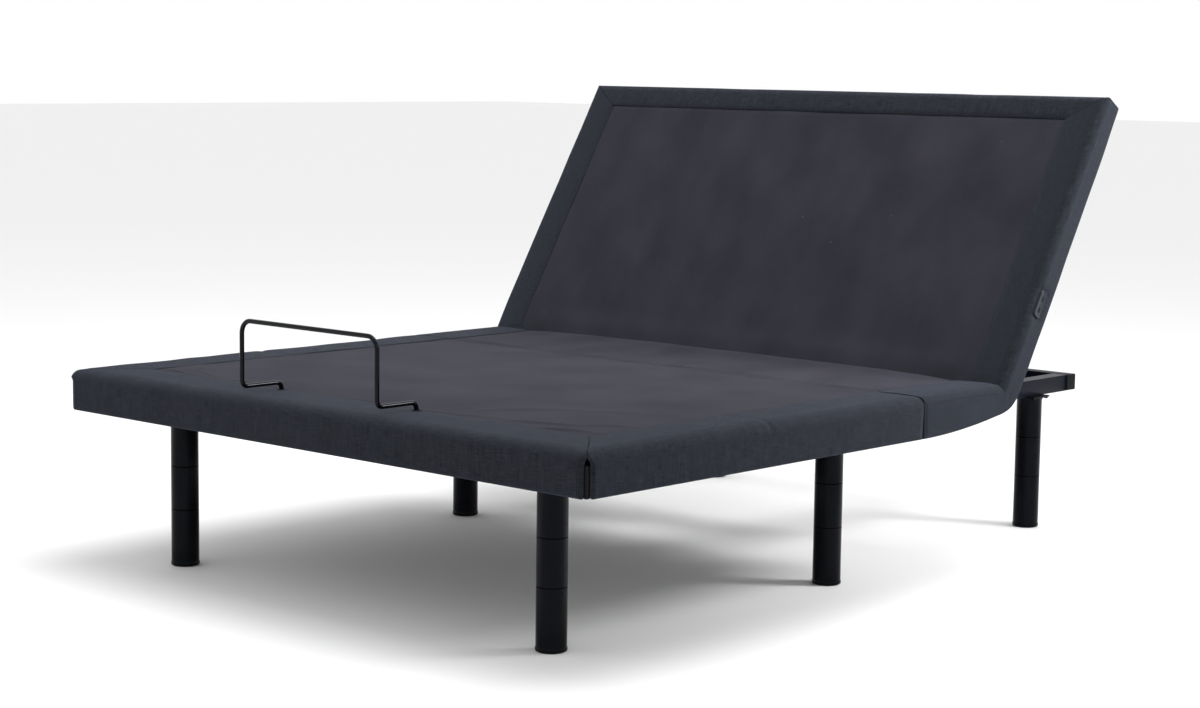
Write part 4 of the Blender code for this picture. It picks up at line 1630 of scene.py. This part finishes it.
@dataclass
class Frame:
    """Welded tubes, brackets, hinges, links and the lifting gear."""

    wardrobe: Wardrobe
    tube: float = 0.038
    wall: float = 0.002
    plate_edge: float = 0.0006

    def build(self) -> list[bpy.types.Object]:
        """Soften and finish every kept metal and plastic part.

        Returns:
            The finished pieces.
        """
        satin = self.wardrobe.lacquer[Lacquer.SATIN]
        pieces = []
        for node in ("foot_crossbar", "head_crossbar", "middle_outrigger_left", "middle_outrigger_right"):
            pieces.append(softened(node, 0.0018, satin, 3))
        for node in ("rail_left", "rail_right", "seat_crossbar", "motor_crossbar"):
            pieces.append(softened(node, 0.0009, satin, 2))
        for node in ("foot_link_left", "foot_link_right"):
            pieces.append(softened(node, self.plate_edge, satin))
        for node in sorted(frame["nodes"]):
            if node.endswith("_leaf") or node == "bar_bracket":
                self.dress(node, self.wardrobe.zinc)
            elif node.endswith("_board"):
                self.dress(node, self.wardrobe.cloth[Cloth.DUST])
        pieces += self.end_caps()
        for node in ("head_actuator", "foot_actuator", "control_box", "power_supply"):
            pieces.append(softened(node, 0.0014, self.wardrobe.plastic))
        for node in ("head_motor", "foot_motor"):
            pieces.append(softened(node, 0.0012, self.wardrobe.plastic))
        for node in ("head_actuator_rod", "foot_actuator_rod"):
            pieces.append(softened(node, 0.0005, self.wardrobe.bright))
        return pieces

    def end_caps(self) -> list[bpy.types.Object]:
        """Plug the open ends of the cross tubes with moulded caps.

        Returns:
            The caps.
        """
        pieces = []
        for node in ("foot_crossbar", "head_crossbar", "seat_crossbar",
                     "middle_outrigger_left", "middle_outrigger_right"):
            low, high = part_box(node)
            centre = Vector((0, low.y + self.tube / 2, high.z - self.tube / 2))
            ends = [(-1, low.x), (1, high.x)]
            if node.startswith("middle"):
                ends = [max(ends, key=lambda item: abs(item[1]))]
            for hand, x in ends:
                plug, lip = self.tube / 2 - self.wall - 0.0004, self.tube / 2 - 0.0006
                inner = self.corners(centre, plug, x - hand * 0.012, x + hand * 0.0008)
                outer = self.corners(centre, lip, x + hand * 0.0002, x + hand * 0.0024)
                body, face = rounded_box(*inner, 0.0012, 2), rounded_box(*outer, 0.0009, 3)
                name = f"{node}_cap_{'left' if hand < 0 else 'right'}"
                cap = new_piece(name, joined(body, face), self.wardrobe.rubber)
                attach(cap, "base")
                pieces.append(cap)
        return pieces

    def corners(self, centre: Vector, half: float, first: float, second: float) -> tuple[Vector, Vector]:
        """Return the low and high corners of a square block between two places along X.

        Args:
            centre: A point on the block's middle line.
            half: Half the block's width.
            first: Where one end is along X.
            second: Where the other end is.

        Returns:
            The two corners.
        """
        near, far = sorted((first, second))
        low = Vector((near, centre.y - half, centre.z - half))
        return low, Vector((far, centre.y + half, centre.z + half))

    def dress(self, node: str, material: bpy.types.Material) -> None:
        """Give a kept CAD node its finish.

        Args:
            node: The CAD node's name.
            material: Its finish.
        """
        source = frame["nodes"][node]
        source.data.materials.clear()
        source.data.materials.append(material)


@dataclass
class ChargingSocket:
    """The rounded charging plate in the head section's right side, with two ports."""

    plan: DeckPlan
    wardrobe: Wardrobe
    length: float = 0.060
    height: float = 0.024
    port: Point2 = (0.0135, 0.0062)
    swell: float = 0.0045

    def build(self) -> bpy.types.Object:
        """Build the plate in the head section's flat frame, then raise it with the section.

        Returns:
            The plate.
        """
        plan = self.plan
        middle, depth = self.centre()
        face = plan.half + self.swell + 0.0006
        built = bmesh.new()
        bmesh.ops.create_cube(built, size=1)
        bmesh.ops.scale(built, vec=(0.0032, self.length, self.height), verts=built.verts)
        corners = [e for e in built.edges if abs(e.verts[0].co.x - e.verts[1].co.x) > 0.001]
        bmesh.ops.bevel(built, geom=corners, offset=0.0065, segments=8, affect="EDGES", profile=0.5,
                        material=-1)
        front = [f for f in built.faces if f.normal.x > 0.9]
        bmesh.ops.inset_region(built, faces=front, thickness=0.0012, depth=0.0009)
        inner = [f for f in built.faces if f.normal.x > 0.9 and f.calc_area() > 0.0005]
        bmesh.ops.inset_region(built, faces=inner, thickness=0.0012, depth=-0.0006)
        bmesh.ops.translate(built, vec=(face - 0.0016 - 0.0009, middle, depth), verts=built.verts)
        ports = []
        for offset in (-0.013, 0.013):
            spot = Vector((face - 0.0006, middle + offset, depth))
            ports.append(self.port_shape(spot))
        lamp = lathe([(0.0, -0.001), (0.0011, -0.001), (0.0011, 0.0004), (0.0007, 0.0008), (0.0, 0.0009)],
                     Vector((face - 0.0006, middle, depth)), Vector((1, 0, 0)), 16)
        turn = Matrix.Translation(plan.head) @ Matrix.Rotation(plan.tilt, 4, "X")
        whole = joined(built, *ports, lamp)
        bmesh.ops.transform(whole, matrix=turn, verts=whole.verts)
        piece = new_piece("charging_socket_plate", whole, self.wardrobe.socket, 30.0)
        piece.data.materials.append(self.wardrobe.rubber)
        self.darken_ports(piece, turn, middle, depth)
        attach(piece, "head")
        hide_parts("usb_socket")
        return piece

    def port_shape(self, spot: Vector) -> bmesh.types.BMesh:
        """Return one port: a raised rim round a sunk dark mouth.

        Args:
            spot: The middle of the port's face.

        Returns:
            The port.
        """
        rim = rounded_box(spot + Vector((-0.002, -self.port[0] / 2, -self.port[1] / 2)),
                          spot + Vector((0.0004, self.port[0] / 2, self.port[1] / 2)), 0.0004, 2)
        mouth = [f for f in rim.faces if f.normal.x > 0.99 and f.calc_area() > 0.00004]
        bmesh.ops.inset_region(rim, faces=mouth, thickness=0.0009, depth=0.0)
        mouth = [f for f in rim.faces if f.normal.x > 0.99 and f.calc_area() > 0.00003]
        grown = bmesh.ops.extrude_face_region(rim, geom=mouth)["geom"]
        moved = [item for item in grown if isinstance(item, bmesh.types.BMVert)]
        bmesh.ops.translate(rim, vec=(-0.0016, 0, 0), verts=moved)
        return rim

    def darken_ports(self, piece: bpy.types.Object, turn: Matrix, middle: float, depth: float) -> None:
        """Give the faces inside the ports the dark finish.

        Args:
            piece: The plate.
            turn: The head section's place in the model.
            middle: The plate's middle along the section.
            depth: The plate's middle across the section.
        """
        back = turn.inverted()
        half_length, half_height = self.port[0] / 2 - 0.0006, self.port[1] / 2 - 0.0006
        for polygon in piece.data.polygons:
            spot = back @ polygon.center
            near = min(abs(spot.y - middle - offset) for offset in (-0.013, 0.013))
            if near < half_length and abs(spot.z - depth) < half_height:
                polygon.material_index = 1

    def centre(self) -> Point2:
        """Return the socket's centre along and across the head section's flat frame."""
        return self.plan.socket_centre()


@dataclass(frozen=True)
class Softbox:
    """A square soft light aimed at a point."""

    name: str
    spot: tuple[float, float, float]
    target: tuple[float, float, float]
    size: float
    power: float
    spread: float = 180.0

    def hang(self) -> None:
        """Hang the light, out of the camera's sight."""
        data = bpy.data.lights.new(self.name, "AREA")
        data.shape, data.size, data.energy = "SQUARE", self.size, self.power
        data.spread = math.radians(self.spread)
        lamp = bpy.data.objects.new(self.name, data)
        lamp.location = self.spot
        lamp.visible_camera = False
        lamp.rotation_euler = (Vector(self.target) - Vector(self.spot)).to_track_quat("-Z", "Y").to_euler()
        bpy.context.scene.collection.objects.link(lamp)


@dataclass(frozen=True)
class Studio:
    """Camera, floor and light."""

    place: tuple[float, float, float] = (3.5701, -4.0753, 1.0870)
    heading: float = math.radians(42.248)
    dip: float = math.radians(6.882)
    roll: float = math.radians(0.775)
    lens: float = 73.25
    paper: float = 0.86
    softboxes: tuple[Softbox, ...] = (
        Softbox("top_softbox", (0.4, 0.4, 4.4), (0.0, 0.0, 0.35), 3.2, 150.0),
        Softbox("head_softbox", (2.1, 1.4, 1.8), (0.76, 0.55, 0.85), 0.7, 8.0, 50.0),
    )

    def camera(self) -> None:
        """Set the camera at its viewing angle."""
        level = math.cos(self.dip)
        ahead = Vector((-math.sin(self.heading), math.cos(self.heading), 0.0)) * level
        forward = ahead - Vector((0.0, 0.0, math.sin(self.dip)))
        right = forward.cross(Vector((0, 0, 1))).normalized()
        up = right.cross(forward)
        level_right = right * math.cos(self.roll) + up * math.sin(self.roll)
        level_up = up * math.cos(self.roll) - right * math.sin(self.roll)
        data = bpy.data.cameras.new("studio_camera")
        data.lens, data.sensor_width, data.sensor_fit = self.lens, 36.0, "HORIZONTAL"
        data.clip_start = 0.05
        holder = bpy.data.objects.new("studio_camera", data)
        turn = Matrix((level_right, level_up, -forward)).transposed().to_4x4()
        holder.matrix_world = Matrix.Translation(self.place) @ turn
        bpy.context.scene.collection.objects.link(holder)
        bpy.context.scene.camera = holder

    def floor(self) -> None:
        """Lay the pale floor."""
        graph = Graph("studio_floor")
        pale = (self.paper, self.paper, self.paper, 1.0)
        material = graph.finish(None, 0.0, 0.0, Base_Color=pale, Roughness=0.9)
        built = bmesh.new()
        bmesh.ops.create_grid(built, x_segments=1, y_segments=1, size=40)
        piece = new_piece("studio_floor", built, material)

    def lights(self) -> None:
        """Hang the soft lights and the pale surround."""
        world = bpy.data.worlds.new("studio_surround")
        world.use_nodes = True
        world.node_tree.nodes["Background"].inputs["Color"].default_value = (1, 1, 1, 1)
        world.node_tree.nodes["Background"].inputs["Strength"].default_value = 1.0
        bpy.context.scene.world = world
        bpy.context.scene.view_settings.view_transform = "Standard"
        for softbox in self.softboxes:
            softbox.hang()

    def build(self) -> None:
        """Build the studio."""
        self.camera()
        self.floor()
        self.lights()


def report(name: str, pieces: Sequence[bpy.types.Object]) -> None:
    """Log each piece of an assembly with its triangle count.

    Args:
        name: The assembly's name.
        pieces: Its pieces.
    """
    for piece in pieces:
        triangles = sum(len(polygon.vertices) - 2 for polygon in piece.data.polygons)
        LOG.info("%s: %s, %d triangles", name, piece.name, triangles)


def main() -> None:
    """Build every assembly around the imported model."""
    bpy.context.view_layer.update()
    Studio().build()
    wardrobe, plan = Wardrobe(), DeckPlan.read()
    leg_deck = LegDeck(plan, wardrobe)
    report("leg deck", leg_deck.build())
    report("seam strip", [SeamStrip(plan, wardrobe, leg_deck).build()])
    report("head deck", HeadDeck(plan, wardrobe).build())
    report("legs", Legs(wardrobe).build())
    report("retainer", [RetainerBar(wardrobe).build()])
    report("frame", Frame(wardrobe).build())
    report("socket", [ChargingSocket(plan, wardrobe).build()])


if __name__ == "__main__":
    logging.basicConfig(level=logging.INFO)
    main()
